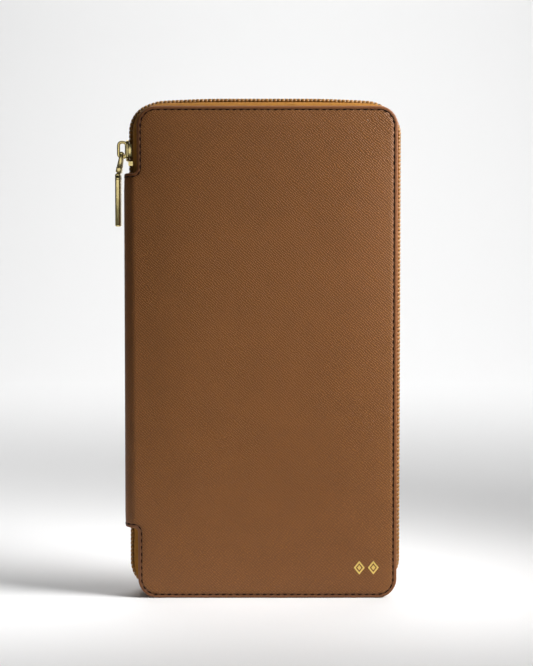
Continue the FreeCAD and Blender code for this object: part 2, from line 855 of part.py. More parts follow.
def turn_to_spine(thing, x, z, tilt="0"):
    """Turns a piece from the chain's frame to the run beside the spine, leaning it by tilt degrees."""
    lean = FreeCAD.Rotation(FreeCAD.Vector(0, 1, 0), number(tilt))
    half_turn = FreeCAD.Rotation(FreeCAD.Vector(0, 0, 1), 180)
    thing.Placement = FreeCAD.Placement(FreeCAD.Vector(), lean.multiply(half_turn))
    return place(thing, x, "0", z)


def build_main_pull():
    """Slider of the main zip with its link, pin and bar, hanging beside the spine."""
    slider = zip_slider("main_slider", {
        "length": "slider_length",
        "width": "slider_width",
        "wing": "slider_wing",
        "clearance": "slider_clearance",
        "coil_height": "coil_height",
        "coil_width": "coil_width",
        "gap": "chain_gap",
        "tape": "zip_tape",
        "post": "slider_post",
        "post_length": "slider_post_length",
        "bridge_low": "bridge_low",
        "bridge_high": "bridge_high",
        "bridge_reach": "bridge_reach",
        "bridge_width": "bridge_width",
        "bridge_corner": "bridge_corner",
        "strand": "bridge_strand",
    })
    node(turn_to_spine(slider, "fold_x-bulge_left", "slider_height"), "zip_slider")
    eye_x = "fold_x-bulge_left-coil_height-slider_clearance-slider_wing-eye_out"
    eye_z = "slider_height+eye_low"
    pin_x = f"{eye_x}-link_length*sin(link_tilt*1deg)"
    pin_z = f"{eye_z}-link_length*cos(link_tilt*1deg)"
    node(turn_to_spine(pull_link(), eye_x, eye_z, "link_tilt"), "pull_link")
    pin = cylinder_along_y("pull_pin", "pin_radius", "bar_width")
    node(place(pin, pin_x, "bar_width/2", pin_z), "pull_pin")
    node(turn_to_spine(pull_bar(), pin_x, pin_z), "pull_bar")


# ---------------------------------------------------------------- pockets in the front cover


def build_card_side():
    """Slip pocket behind two banks of card slots, each slot lower and further in than the last."""
    base = "leather+board+zip_tape+lining"
    sheet_body(
        "slip_pocket", FRONT, base, "pocket_leather", pocket_outline("slip_top"), "pocket_corner"
    )
    slots = 0
    for bank in ("high_bank", "low_bank"):
        for k in range(CARD_SLOTS_PER_BANK):
            slots += 1
            sides = (
                "fold_x+card_inset",
                "fold_x+card_inset+card_width",
                bank,
                f"{bank}+card_depth+{CARD_SLOTS_PER_BANK - 1 - k}*card_step",
            )
            depth = f"{base}+pocket_leather+{k}*card_leather"
            label = f"card_slot_{slots}"
            sheet_body(label, FRONT, depth, "card_leather", sides, "card_corner")


# ---------------------------------------------------------------- pockets in the rear cover


def zipped_pouch():
    """Cloth tray behind the rear panels, open towards them."""
    base = "leather+board+zip_tape+lining"
    sides = pocket_outline("pouch_top")
    body, _ = sheet_body("pouch_cloth", REAR, base, "pouch_depth", sides, "pocket_corner")
    hollow = body_sketch(body, "pouch_hollow", REAR, f"{base}+pouch_depth")
    left, right, bottom, top = sides
    inner = (
        f"{left}+pouch_wall",
        f"{right}-pouch_wall",
        f"{bottom}+pouch_wall",
        f"{top}-pouch_wall",
    )
    add_rounded_loop(hollow, "hollow", *inner, "pocket_corner-pouch_wall")
    cut_pocket(body, "pouch_inside", hollow, REAR, "pouch_depth-pouch_wall")


def passport_pocket():
    """Slip pocket on the lower panel, with a round cut for a thumb in its top edge."""
    depth = "leather+board+zip_tape+lining+pouch_depth+pocket_leather"
    body, _ = sheet_body(
        "passport_pocket",
        REAR,
        depth,
        "pocket_leather",
        pocket_outline("passport_top"),
        "pocket_corner",
    )
    cutout = body_sketch(body, "thumb_outline", REAR, f"{depth}+pocket_leather")
    middle = "fold_x+(cover_width+pocket_left-pocket_right)/2"
    centre = FreeCAD.Vector(number(middle), number("passport_top"), 0)
    circle = Part.Circle(centre, FreeCAD.Vector(0, 0, 1), number("thumb_radius"))
    cutout.addGeometry(circle, False)
    driven = [
        ("thumb", Sketcher.Constraint("Radius", 0, circle.Radius), "thumb_radius"),
        ("thumb_x", Sketcher.Constraint("DistanceX", *ORIGIN_POINT, 0, 3, centre.x), middle),
        ("thumb_z", Sketcher.Constraint("DistanceY", *ORIGIN_POINT, 0, 3, centre.y), "passport_top"),
    ]
    for name, constraint, text in driven:
        index = cutout.addConstraint(constraint)
        cutout.renameConstraint(index, name)
        cutout.setExpression(f"Constraints.{name}", dims(text))
    cut_pocket(body, "thumb_cut", cutout, REAR, "pocket_leather")


def inner_zip_chain():
    """Tapes, coils and stops of the zip across the rear panels."""
    panel_depth = "leather+board+zip_tape+lining+pouch_depth"
    face_y = f"body_depth/2-({panel_depth})"
    tape_x = "fold_x+pocket_left+pouch_wall+inner_tape_inset"
    tape_end = "fold_x+cover_width-pocket_right-pouch_wall-inner_tape_inset"
    coil_x = f"{tape_x}+inner_stop"
    coil_length = f"{tape_end}-({tape_x})-2*inner_stop"
    for word, tape_z, coil_z in (
        ("upper", "inner_zip_z+inner_gap", "inner_zip_z+inner_gap"),
        ("lower", "inner_zip_z-inner_tape_width", "inner_zip_z-inner_gap-inner_coil_width"),
    ):
        tape = box(
            f"inner_tape_{word}",
            tape_x,
            face_y,
            tape_z,
            f"{tape_end}-({tape_x})",
            "inner_tape",
            "inner_tape_width-inner_gap",
        )
        node(tape, f"inner_tape_{word}")
        coil = box(
            f"inner_coil_{word}",
            coil_x,
            f"{face_y}-inner_coil_height",
            coil_z,
            coil_length,
            "inner_coil_height",
            "inner_coil_width",
        )
        node(coil, f"inner_coil_{word}")
    stops = document.addObject("Part::Compound", "inner_stop_pair")
    stops.Links = [
        box(
            f"inner_stop_{k}",
            x,
            f"{face_y}-inner_coil_height-inner_clearance",
            "inner_zip_z-inner_gap-inner_coil_width",
            "inner_stop",
            "inner_coil_height+inner_clearance",
            "2*(inner_gap+inner_coil_width)",
        )
        for k, x in enumerate((tape_x, f"{tape_end}-inner_stop"))
    ]
    node(stops, "inner_zip_stops")


def inner_pull():
    """Flat tab with a window that the bridge passes through. Its origin is its own axis."""
    tab = box(
        "inner_tab",
        "-inner_pull_half",
        "-inner_pull_width/2",
        "-inner_pull_length",
        "2*inner_pull_half",
        "inner_pull_width",
        "inner_pull_length+inner_eye_half",
    )
    document.recompute()
    soft = document.addObject("Part::Fillet", "inner_tab_rounded")
    soft.Base = tab
    radius = number("inner_pull_width*tab_round")
    soft.Edges = [
        (i, radius, radius)
        for i, edge in enumerate(tab.Shape.Edges, start=1)
        if max(v.Z for v in edge.Vertexes) < number("-inner_pull_length") + 1e-4
        and abs(edge.Vertexes[0].X - edge.Vertexes[-1].X) > 1e-4
    ]
    window = box(
        "inner_window",
        "-2*inner_pull_half",
        "-inner_bridge_width/2-window_slack",
        "-inner_eye_half-inner_window",
        "4*inner_pull_half",
        "inner_bridge_width+2*window_slack",
        "inner_window",
    )
    return cut("inner_tab_windowed", soft, window)


def turn_to_panel(thing, x, y):
    """Turns a piece from the chain's frame to the zip across the rear panels."""
    axes = FreeCAD.Matrix(
        0, 0, 1, 0,
        -1, 0, 0, 0,
        0, -1, 0, 0,
        0, 0, 0, 1,
    )
    thing.Placement = FreeCAD.Placement(axes)
    return place(thing, x, y, "inner_zip_z")


def build_inner_slider():
    """Slider and pull of the zip across the rear panels, parked at its closed end."""
    slider = zip_slider("small_slider", {
        "length": "inner_slider_length",
        "width": "inner_slider_width",
        "wing": "inner_wing",
        "clearance": "inner_clearance",
        "coil_height": "inner_coil_height",
        "coil_width": "inner_coil_width",
        "gap": "inner_gap",
        "tape": "inner_tape",
        "post": "inner_post",
        "post_length": "inner_post_length",
        "bridge_low": "-inner_bridge_end",
        "bridge_high": "inner_bridge_end",
        "bridge_reach": "inner_bridge_reach",
        "bridge_width": "inner_bridge_width",
        "bridge_corner": "inner_bridge_corner",
        "strand": "inner_bridge_strand",
    })
    face_y = "body_depth/2-(leather+board+zip_tape+lining+pouch_depth)"
    tape_end = "fold_x+cover_width-pocket_right-pouch_wall-inner_tape_inset"
    slider_x = f"{tape_end}-inner_stop-stop_gap-inner_slider_length/2"
    eye_y = f"{face_y}-inner_coil_height-inner_clearance-inner_wing-inner_eye_out"
    node(turn_to_panel(slider, slider_x, face_y), "inner_slider")
    node(turn_to_panel(inner_pull(), f"{slider_x}+inner_eye_low", eye_y), "inner_pull")


def build_zipped_side():
    """Zipped pouch, the panels above and below its zip, and the passport pocket."""
    panel_depth = "leather+board+zip_tape+lining+pouch_depth"
    left, right, bottom, top = pocket_outline("pouch_top")
    zipped_pouch()
    upper = (left, right, "inner_zip_z+inner_slot", top)
    lower = (left, right, bottom, "inner_zip_z-inner_slot")
    sheet_body("panel_above_zip", REAR, panel_depth, "pocket_leather", upper, "pocket_corner")
    sheet_body("panel_below_zip", REAR, panel_depth, "pocket_leather", lower, "pocket_corner")
    passport_pocket()
    inner_zip_chain()
    build_inner_slider()


# ---------------------------------------------------------------- checks and files


def check_document():
    """Stops the macro if any object failed or any sub-part is not a sound solid."""
    document.recompute()
    for thing in document.Objects:
        if any(word in thing.State for word in ("Invalid", "Error")):
            raise RuntimeError(f"{thing.Name} failed: {thing.State}")
    for thing in nodes:
        shape = thing.Shape
        if shape.isNull() or not shape.isValid() or not shape.Solids or shape.Volume <= 0:
            raise RuntimeError(f"{thing.Label} is not a sound solid")


def write_parts():
    """Writes each sub-part to its own file."""
    os.makedirs("parts", exist_ok=True)
    for thing in nodes:
        thing.Shape.exportStep(f"parts/{thing.Label}.step")
        bounds = thing.Shape.BoundBox
        print(
            f"{thing.Label}: {len(thing.Shape.Solids)} solid(s), {thing.Shape.Volume:.1f} mm3, "
            f"x {bounds.XMin:.2f} {bounds.XMax:.2f}, y {bounds.YMin:.2f} {bounds.YMax:.2f}, "
            f"z {bounds.ZMin:.2f} {bounds.ZMax:.2f}"
        )


ALIASES = {alias for alias, _, _ in DIMENSIONS}
fill_sheet()
build_cover(FRONT, "front")
build_cover(REAR, "rear")
build_spine()
build_main_zip()
build_main_pull()
build_card_side()
build_zipped_side()
check_document()
write_parts()
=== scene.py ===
import logging
import math
from dataclasses import dataclass, field
from enum import Enum
from typing import Callable, Optional, Sequence

import bmesh
import bpy
from mathutils import Matrix, Vector


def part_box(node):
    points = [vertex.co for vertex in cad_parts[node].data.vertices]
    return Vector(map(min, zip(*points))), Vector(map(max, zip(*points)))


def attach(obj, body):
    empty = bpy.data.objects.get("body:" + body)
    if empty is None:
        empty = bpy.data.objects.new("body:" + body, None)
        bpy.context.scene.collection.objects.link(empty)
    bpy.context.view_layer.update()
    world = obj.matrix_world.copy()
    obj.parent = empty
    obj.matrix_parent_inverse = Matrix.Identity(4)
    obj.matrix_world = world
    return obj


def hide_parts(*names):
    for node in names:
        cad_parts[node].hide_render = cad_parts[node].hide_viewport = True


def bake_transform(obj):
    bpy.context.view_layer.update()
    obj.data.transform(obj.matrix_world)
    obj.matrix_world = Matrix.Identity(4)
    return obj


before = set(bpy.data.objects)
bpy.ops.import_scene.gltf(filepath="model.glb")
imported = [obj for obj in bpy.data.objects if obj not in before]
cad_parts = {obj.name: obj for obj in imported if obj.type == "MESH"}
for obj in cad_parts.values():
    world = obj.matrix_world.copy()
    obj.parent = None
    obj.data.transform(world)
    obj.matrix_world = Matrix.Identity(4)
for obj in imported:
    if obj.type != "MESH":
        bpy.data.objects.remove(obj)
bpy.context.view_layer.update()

# The looks of a zip around wallet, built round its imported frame.
#
# Metres, in the frame's own axes: +Z up the long side, +X from the spine to the free edges, -Y out of the
# front cover. "Flat" coordinates are those of the leather laid flat before it is wrapped round the spine:
# u across it, v up it and a height out of its outer face.

MM = 0.001
TINY = 1e-6
MOSTLY = 0.9  # a face whose normal has more than this along an axis faces that way
METAL_CREASE = math.radians(30)
LOG = logging.getLogger("wallet")
WAVE_PERIOD = 2 * math.pi / 20  # a wave texture of scale 1 repeats over this length
Socket = bpy.types.NodeSocket
Mesh = bmesh.types.BMesh


class Side(Enum):
    """The half of the wallet that a piece belongs to, as the sign of its y."""

    FRONT = -1
    REAR = 1

    @property
    def word(self) -> str:
        """The half's name, as the frame writes it."""
        return self.name.lower()

    @property
    def cover(self) -> str:
        """The body that the half's cover moves with."""
        return f"{self.word}_cover"


class ZipEnd(Enum):
    """The end of the main zip beside the spine."""

    UPPER = 1
    LOWER = -1


def clamp(value: float) -> float:
    """Keep a value between 0 and 1."""
    return min(max(value, 0), 1)


# ---------------------------------------------------------------- finishes


def linear(code: str) -> tuple[float, float, float, float]:
    """Turn an sRGB hex colour into linear RGBA.

    Args:
        code: the colour, such as "#a1b2c3".

    Returns:
        Red, green, blue and alpha, linear.
    """
    parts = [int(code[k : k + 2], 16) / 255 for k in (1, 3, 5)]
    bright = [c / 12.92 if c <= 0.04045 else ((c + 0.055) / 1.055) ** 2.4 for c in parts]
    return (bright[0], bright[1], bright[2], 1.0)


def add_node(
    tree: bpy.types.NodeTree,
    kind: str,
    inputs: Optional[dict] = None,
    links: Optional[dict] = None,
    **settings: object,
) -> bpy.types.Node:
    """Add a node, set it up and link it.

    Args:
        tree: the material's node tree.
        kind: the node's type.
        inputs: values by socket name or number.
        links: output sockets of other nodes by socket name or number.
        settings: the node's own properties.

    Returns:
        The node.
    """
    node = tree.nodes.new(kind)
    for name, value in settings.items():
        setattr(node, name, value)
    for key, value in (inputs or {}).items():
        node.inputs[key].default_value = value
    for key, socket in (links or {}).items():
        tree.links.new(socket, node.inputs[key])
    return node


class Pattern:
    """One material's nodes while its finish is drawn, with the ones that several finishes use."""

    def __init__(self, material: bpy.types.Material, constants: dict) -> None:
        """Give the material a shader.

        Args:
            material: the material, whose own nodes go.
            constants: values of the shader's own sockets.
        """
        material.use_nodes = True
        self.tree = material.node_tree
        self.tree.nodes.clear()
        self.shader = self.add("ShaderNodeBsdfPrincipled", constants)
        self.add("ShaderNodeOutputMaterial", links={"Surface": self.shader.outputs["BSDF"]})

    def add(
        self, kind: str, inputs: Optional[dict] = None, links: Optional[dict] = None, **settings: object
    ) -> bpy.types.Node:
        """Add a node to this material, as add_node does."""
        return add_node(self.tree, kind, inputs, links, **settings)

    def place(self) -> Socket:
        """Places on the object, in metres."""
        return self.add("ShaderNodeTexCoord").outputs["Object"]

    def mapped(self, vector: Socket, **inputs: Sequence[float]) -> Socket:
        """Scale or turn coordinates."""
        return self.add("ShaderNodeMapping", inputs, {"Vector": vector}).outputs["Vector"]

    def noise(
        self, vector: Socket, size: float, detail: float, output: str = "Fac", **inputs: float
    ) -> Socket:
        """Draw clouds.

        Args:
            vector: the coordinates.
            size: the size of a cloud, in the coordinates' units.
            detail: how many finer layers they have.
            output: "Fac" or "Color".
            inputs: further inputs of the node.

        Returns:
            The chosen output.
        """
        values = {"Scale": 1 / size, "Detail": detail, **inputs}
        return self.add("ShaderNodeTexNoise", values, {"Vector": vector}).outputs[output]

    def wave(
        self, vector: Socket, period: float, direction: str, bend: float, inputs: Optional[dict] = None
    ) -> Socket:
        """Draw bands.

        Args:
            vector: the coordinates.
            period: the distance between bands, in the coordinates' units.
            direction: the axis that they follow one another along.
            bend: how far they wander.
            inputs: further inputs of the node.

        Returns:
            Their height, from 0 to 1.
        """
        values = {"Scale": WAVE_PERIOD / period, "Distortion": bend, **(inputs or {})}
        return self.add(
            "ShaderNodeTexWave", values, {"Vector": vector}, bands_direction=direction
        ).outputs["Fac"]

    def maths(self, operation: str, *terms: "Socket | float", clamp: bool = False) -> Socket:
        """Work out a sum or a product of sockets and numbers."""
        numbers = {k: term for k, term in enumerate(terms) if isinstance(term, float)}
        sockets = {k: term for k, term in enumerate(terms) if not isinstance(term, float)}
        made = self.add("ShaderNodeMath", numbers, sockets, operation=operation, use_clamp=clamp)
        return made.outputs["Value"]

    def tint(self, share: Socket, none: str, full: str) -> None:
        """Colour the base between two hex colours by a share."""
        mix = self.add("ShaderNodeMix", {6: linear(none), 7: linear(full)}, {0: share}, data_type="RGBA")
        self.tree.links.new(mix.outputs[2], self.shader.inputs["Base Color"])

    def gloss(self, share: Socket, none: float, full: float) -> None:
        """Vary the roughness between two values by a share."""
        made = self.add("ShaderNodeMapRange", {"To Min": none, "To Max": full}, {"Value": share})
        self.tree.links.new(made.outputs["Result"], self.shader.inputs["Roughness"])

    def relief(self, height: Socket, depth_mm: float, strength: float) -> None:
        """Raise the surface by a height."""
        values = {"Strength": strength, "Distance": depth_mm * MM}
        bump = self.add("ShaderNodeBump", values, {"Height": height})
        self.tree.links.new(bump.outputs["Normal"], self.shader.inputs["Normal"])


@dataclass(frozen=True)
class Finish:
    """What every finish has: a name, a base colour, and how sharply and how much it shines."""

    name: str
    colour: str
    roughness: float = 0.5
    specular: float = 0.5
    metallic: float = 0.0

    def make(self) -> bpy.types.Material:
        """Build the material, or give the one already built under this name.

        Returns:
            The material.
        """
        found = bpy.data.materials.get(self.name)
        if found is not None:
            return found
        material = bpy.data.materials.new(self.name)
        constants = {
            "Base Color": linear(self.colour),
            "Roughness": self.roughness,
            "Specular IOR Level": self.specular,
            "Metallic": self.metallic,
        }
        self.dress(Pattern(material, constants))
        return material

    def dress(self, pattern: Pattern) -> None:
        """Draw the finish's own pattern."""


@dataclass(frozen=True)
class GrainedLeather(Finish):
    """Calf leather pressed with a cross-hatched grain under a thin coat, so that each ridge catches light;
    the creases between the ridges are painted darker as shade.
    """

    specular: float = 0.4
    # painted shade: the colour of the creases between the ridges
    crease: str = "#73471e"
    ridge_mm: float = 0.95
    ridge_bend: float = 3.6
    cell_mm: float = 1.3
    cell_bend: float = 4.0
    cell_depth: float = 0.66
    lean: float = math.radians(-42)
    relief_mm: float = 0.1
    mottle_mm: float = 16.0
    mottle_depth: float = 0.35
    mottle_level: float = -0.17
    wander_mm: float = 2.6
    wander_reach: float = 1.5
    duller: float = 0.14
    glossier: float = 0.05

    def dress(self, pattern: Pattern) -> None:
        """Press leaning ridges, broken into short cells, and paint shade into the creases between them."""
        flat = pattern.add("ShaderNodeUVMap", uv_map="flat").outputs["UV"]
        in_mm = pattern.mapped(flat, Scale=(1 / MM,) * 3)
        wander = pattern.noise(in_mm, self.wander_mm, 2.0, "Color")
        reach = {1: (self.wander_reach,) * 3}
        shifted = pattern.add("ShaderNodeVectorMath", reach, {0: wander, 2: in_mm}, operation="MULTIPLY_ADD")
        leaning = pattern.mapped(shifted.outputs["Vector"], Rotation=(0, 0, -self.lean))
        fine = {"Detail Scale": 2.2, "Detail Roughness": 0.6}
        ridges = pattern.wave(leaning, self.ridge_mm, "Y", self.ridge_bend, fine)
        breaks = pattern.wave(leaning, self.cell_mm, "X", self.cell_bend, {"Detail Scale": 1.8})
        cells = pattern.maths("MULTIPLY_ADD", breaks, self.cell_depth, 1 - self.cell_depth)
        grain = pattern.maths("MULTIPLY", ridges, cells)
        mottle = pattern.noise(in_mm, self.mottle_mm, 3.0)
        depth = pattern.maths("MULTIPLY_ADD", mottle, self.mottle_depth, self.mottle_level)
        # painted shade in the creases where the grain is low, over random mottle
        pattern.tint(pattern.maths("ADD", grain, depth, clamp=True), self.crease, self.colour)
        pattern.gloss(grain, self.roughness + self.duller, self.roughness - self.glossier)
        pattern.relief(grain, self.relief_mm, 1.0)


@dataclass(frozen=True)
class SmoothLeather(Finish):
    """Smooth calf leather with fine pores, as on turned edges and pockets, which gives a soft broad shine."""

    specular: float = 0.35
    worn: str = "#8a5a34"
    pore_mm: float = 0.55
    relief_mm: float = 0.04
    mottle_mm: float = 7.0

    def dress(self, pattern: Pattern) -> None:
        """Prick fine pores and let the dye vary a little."""
        place = pattern.place()
        pores = pattern.add("ShaderNodeTexVoronoi", {"Scale": 1 / (self.pore_mm * MM)}, {"Vector": place})
        pattern.tint(pattern.noise(place, self.mottle_mm * MM, 4.0, Roughness=0.6), self.colour, self.worn)
        pattern.relief(pores.outputs["Distance"], self.relief_mm, 0.8)


@dataclass(frozen=True)
class SpunThread(Finish):
    """Waxed polyester thread, matt and nearly black in its own shade, with its twist just showing."""

    specular: float = 0.2
    ply_mm: float = 0.35
    relief_mm: float = 0.05

    def dress(self, pattern: Pattern) -> None:
        """Twist the plies, drawn coarser than they are so that they show."""
        plies = pattern.wave(pattern.place(), self.ply_mm * MM, "DIAGONAL", 0.4)
        pattern.relief(plies, self.relief_mm, 0.6)


@dataclass(frozen=True)
class WovenTape(Finish):
    """Woven polyester zip tape, matt, ribbed along its length, darker between the ribs."""

    specular: float = 0.15
    shade: str = "#8a5c2e"
    rib_mm: float = 0.62
    pick_mm: float = 0.5
    pick_depth: float = 0.35
    fibre_mm: float = 2.5
    fibre_depth: float = 0.45
    relief_mm: float = 0.06

    def dress(self, pattern: Pattern) -> None:
        """Lay ribs along the tape and picks across it.

        The tape's width runs mostly along Y and its length round the X-Z outline, so the sum of X and Z
        counts off its length on every side.
        """
        place = pattern.place()
        axes = pattern.add("ShaderNodeSeparateXYZ", links={"Vector": place}).outputs
        length = pattern.maths("ADD", axes["X"], axes["Z"])
        weave = pattern.add("ShaderNodeCombineXYZ", links={"X": length, "Y": axes["Y"]}).outputs["Vector"]
        ribs = pattern.wave(weave, self.rib_mm * MM, "Y", 0.3)
        picks = pattern.wave(weave, self.pick_mm * MM, "X", 0.3)
        height = pattern.maths("MULTIPLY_ADD", picks, self.pick_depth, ribs)
        fibres = pattern.noise(place, self.fibre_mm * MM, 4.0)
        share = pattern.maths("MULTIPLY_ADD", height, self.fibre_depth, fibres, clamp=True)
        pattern.tint(share, self.shade, self.colour)
        pattern.relief(height, self.relief_mm, 0.8)


@dataclass(frozen=True)
class NylonCoil(Finish):
    """Dyed nylon monofilament, smooth and a little waxy, with painted shade on its flanks where the turns
    meet.
    """

    # painted shade: the colour of the flanks that face away from the view
    flank_shade: str = "#7d5327"
    cloud_mm: float = 4.0

    def dress(self, pattern: Pattern) -> None:
        """Paint shade on the filament's flanks, where little light gets in, varied by random clouds."""
        facing = pattern.add("ShaderNodeLayerWeight", {"Blend": 0.35}).outputs["Facing"]
        uneven = pattern.noise(pattern.place(), self.cloud_mm * MM, 2.0)
        # painted shade towards the flanks, from the facing angle, plus random clouds
        pattern.tint(pattern.maths("MULTIPLY_ADD", uneven, 0.3, facing, clamp=True), self.colour, self.flank_shade)


@dataclass(frozen=True)
class PlatedZinc(Finish):
    """Zinc casting polished and plated pale gold, with faint polishing lines and a tarnished cast in dips."""

    metallic: float = 1.0
    tarnish: str = "#8f7f4c"
    clouds_per_mm: float = 0.22
    line_mm: float = 0.35
    line_share: float = 0.06
    relief_mm: float = 0.006

    def dress(self, pattern: Pattern) -> None:
        """Draw polishing lines along the casting and vary its gloss."""
        place = pattern.place()
        across = 1 / (self.line_mm * MM)
        drawn = pattern.mapped(place, Scale=(across, across, self.line_share * across))
        lines = pattern.noise(drawn, 1.0, 3.0)
        clouds = {"Value": pattern.noise(place, MM / self.clouds_per_mm, 3.0)}
        dips = pattern.add("ShaderNodeMapRange", {"From Min": 0.5, "From Max": 0.75, "To Max": 0.6}, clouds)
        pattern.tint(dips.outputs["Result"], self.colour, self.tarnish)
        pattern.gloss(lines, self.roughness - 0.04, self.roughness + 0.08)
        pattern.relief(lines, self.relief_mm, 0.5)


@dataclass(frozen=True)
class StampedFoil(Finish):
    """Hot-stamped gold foil, bright and slightly dappled by the grain under it."""

    metallic: float = 1.0
    dapple_mm: float = 1.1
    relief_mm: float = 0.04

    def dress(self, pattern: Pattern) -> None:
        """Let the leather's grain show through the foil."""
        pattern.relief(pattern.noise(pattern.place(), self.dapple_mm * MM, 2.0), self.relief_mm, 0.7)


@dataclass(frozen=True)
class PlainWeave(Finish):
    """Plain woven cotton lining, matt, with threads that cross over and under."""

    shade: str = "#4b3220"
    thread_mm: float = 0.6
    relief_mm: float = 0.08

    def dress(self, pattern: Pattern) -> None:
        """Cross warp and weft, drawn at twice their spacing so that they show."""
        place = pattern.place()
        warp, weft = (pattern.wave(place, self.thread_mm * MM, axis, 0.5) for axis in ("X", "Z"))
        height = pattern.maths("MULTIPLY", warp, weft)
        pattern.tint(height, self.shade, self.colour)
        pattern.relief(height, self.relief_mm, 0.8)


@dataclass(frozen=True)
class PressedPaper(Finish):
    """Heavy studio paper, matt, with the faintest speckle of its own fibres."""

    speck: str = "#e7e7e7"
    speck_mm: float = 1.2

    def dress(self, pattern: Pattern) -> None:
        """Speckle the paper with its own fibres."""
        pattern.tint(pattern.noise(pattern.place(), self.speck_mm * MM, 5.0), self.colour, self.speck)


# The covers' faces: leaning ridges that glint, over creases with painted shade
SHELL_GRAIN = GrainedLeather("tan_cross_grain_leather", "#955d28", 0.45)
# The rim turned round the boards: smoother and browner than the faces
TURNED_EDGE = SmoothLeather("tan_turned_edge_leather", "#754624", 0.48, worn="#7f4f29")
# The pressed line that the stitches lie in: leather painted darkest, as shade in the groove
GROOVE_SHADE = SmoothLeather("burnished_groove_leather", "#593318", 0.6, worn="#67401f")
# Pockets and linings inside: plain and matt, the lining a shade deeper
POCKET_LEATHER = SmoothLeather("tan_pocket_leather", "#80542f", 0.5, worn="#8d6038", mottle_mm=14.0)
LINING_LEATHER = SmoothLeather("brown_lining_leather", "#6d4526", 0.55, worn="#7a5030", mottle_mm=18.0)
# Threads: nearly black round the covers, golden on the coils
COVER_THREAD = SpunThread("dark_brown_waxed_thread", "#1d0e05", 0.9)
COIL_THREAD = SpunThread("tan_coil_thread", "#b98747", 0.75)
# The zip: a golden band round the wallet, the coil glossier than the tape
ZIP_TAPE = WovenTape("golden_tan_zip_tape", "#a06c27", 0.85, shade="#704a1a")
# the coil's flanks take painted shade
ZIP_COIL = NylonCoil("golden_tan_nylon_coil", "#9c7036", 0.42, flank_shade="#7a5526")
# Metal: pale and satin on sliders and pulls, yellower on the foil
PALE_GOLD = PlatedZinc("pale_gold_plated_zinc", "#e9d595", 0.2)
GOLD_FOIL = StampedFoil("gold_stamping_foil", "#f0d27a", 0.3)
# The bag behind the inner zip: dull cloth with a visible weave
POUCH_COTTON = PlainWeave("brown_lining_cotton", "#6b4a30", 0.85)
# The backdrop: nearly white and quite dull
STUDIO_PAPER = PressedPaper("white_studio_paper", "#e9e9e9", 0.9)


# ---------------------------------------------------------------- shaping


def everything(bm: Mesh) -> list:
    """All the vertices, edges and faces of a mesh, as the cutting operators want them."""
    return bm.verts[:] + bm.edges[:] + bm.faces[:]


def slice_mesh(
    bm: Mesh,
    point: Sequence[float],
    normal: Sequence[float],
    drop_behind: bool = False,
    close: bool = False,
    geom: Optional[list] = None,
) -> None:
    """Cut a mesh along a plane.

    Args:
        bm: the mesh.
        point: a point on the plane.
        normal: the plane's normal.
        drop_behind: whether what lies behind the plane goes.
        close: whether the holes that the cut leaves are filled.
        geom: what is cut, if not everything.
    """
    bmesh.ops.bisect_plane(
        bm,
        geom=everything(bm) if geom is None else geom,
        dist=1e-7,
        plane_co=point,
        plane_no=normal,
        clear_inner=drop_behind,
    )
    if close:
        bmesh.ops.holes_fill(bm, edges=[e for e in bm.edges if len(e.link_faces) == 1], sides=0)


def round_corners(bm: Mesh, verts: Sequence, radius: float, steps: int) -> None:
    """Round a flat face's corners.

    Args:
        bm: the mesh.
        verts: the corners.
        radius: how far from a corner its rounding starts.
        steps: edges to a corner.
    """
    bmesh.ops.bevel(
        bm,
        geom=list(verts),
        offset=radius,
        offset_type="ABSOLUTE",
        affect="VERTICES",
        segments=steps,
        profile=0.5,
        material=-1,
    )


def rounded_face(
    bm: Mesh, left: float, right: float, bottom: float, top: float, radius: float, steps: int
) -> bmesh.types.BMFace:
    """Add a flat face in the XY plane, facing +Z, with round corners.

    Args:
        bm: the mesh.
        left: lowest x.
        right: highest x.
        bottom: lowest y.
        top: highest y.
        radius: corner radius.
        steps: edges to a corner.

    Returns:
        The face.
    """
    made = bmesh.ops.create_grid(bm, x_segments=1, y_segments=1, size=0.5)["verts"]
    bmesh.ops.scale(bm, vec=(right - left, top - bottom, 1), verts=made)
    bmesh.ops.translate(bm, vec=((left + right) / 2, (bottom + top) / 2, 0), verts=made)
    face = made[0].link_faces[0]
    round_corners(bm, made, radius, steps)
    if not face.is_valid:
        bm.faces.ensure_lookup_table()
        face = bm.faces[-1]
    return face


def soften(bm: Mesh, edges: Sequence, width: float, steps: int = 2) -> None:
    """Round some edges.

    Args:
        bm: the mesh.
        edges: the edges.
        width: how far the rounding reaches from each edge.
        steps: faces across the rounding.
    """
    bmesh.ops.bevel(
        bm,
        geom=list(edges),
        offset=width,
        offset_type="OFFSET",
        affect="EDGES",
        segments=steps,
        profile=0.5,
        material=-1,
        clamp_overlap=True,
    )


def block(bm: Mesh, low: Sequence[float], high: Sequence[float]) -> list:
    """Add a box.

    Args:
        bm: the mesh.
        low: its lowest corner.
        high: its highest corner.

    Returns:
        Its vertices.
    """
    size = [b - a for a, b in zip(low, high)]
    middle = [(a + b) / 2 for a, b in zip(low, high)]
    place = Matrix.Translation(middle) @ Matrix.Diagonal((*size, 1))
    return bmesh.ops.create_cube(bm, size=1.0, matrix=place)["verts"]


def merge(bm: Mesh, part: Mesh) -> None:
    """Add one mesh to another and free it."""
    carrier = bpy.data.meshes.new("carrier")
    part.to_mesh(carrier)
    part.free()
    bm.from_mesh(carrier)
    bpy.data.meshes.remove(carrier)


def inset(bm: Mesh, face: bmesh.types.BMFace, width: float, rise: float = 0.0) -> list:
    """Draw a face in from its edges by a width and lift it, and give the faces of the ring round it."""
    return bmesh.ops.inset_region(
        bm, faces=[face], thickness=width, depth=rise, use_boundary=True, use_even_offset=True
    )["faces"]


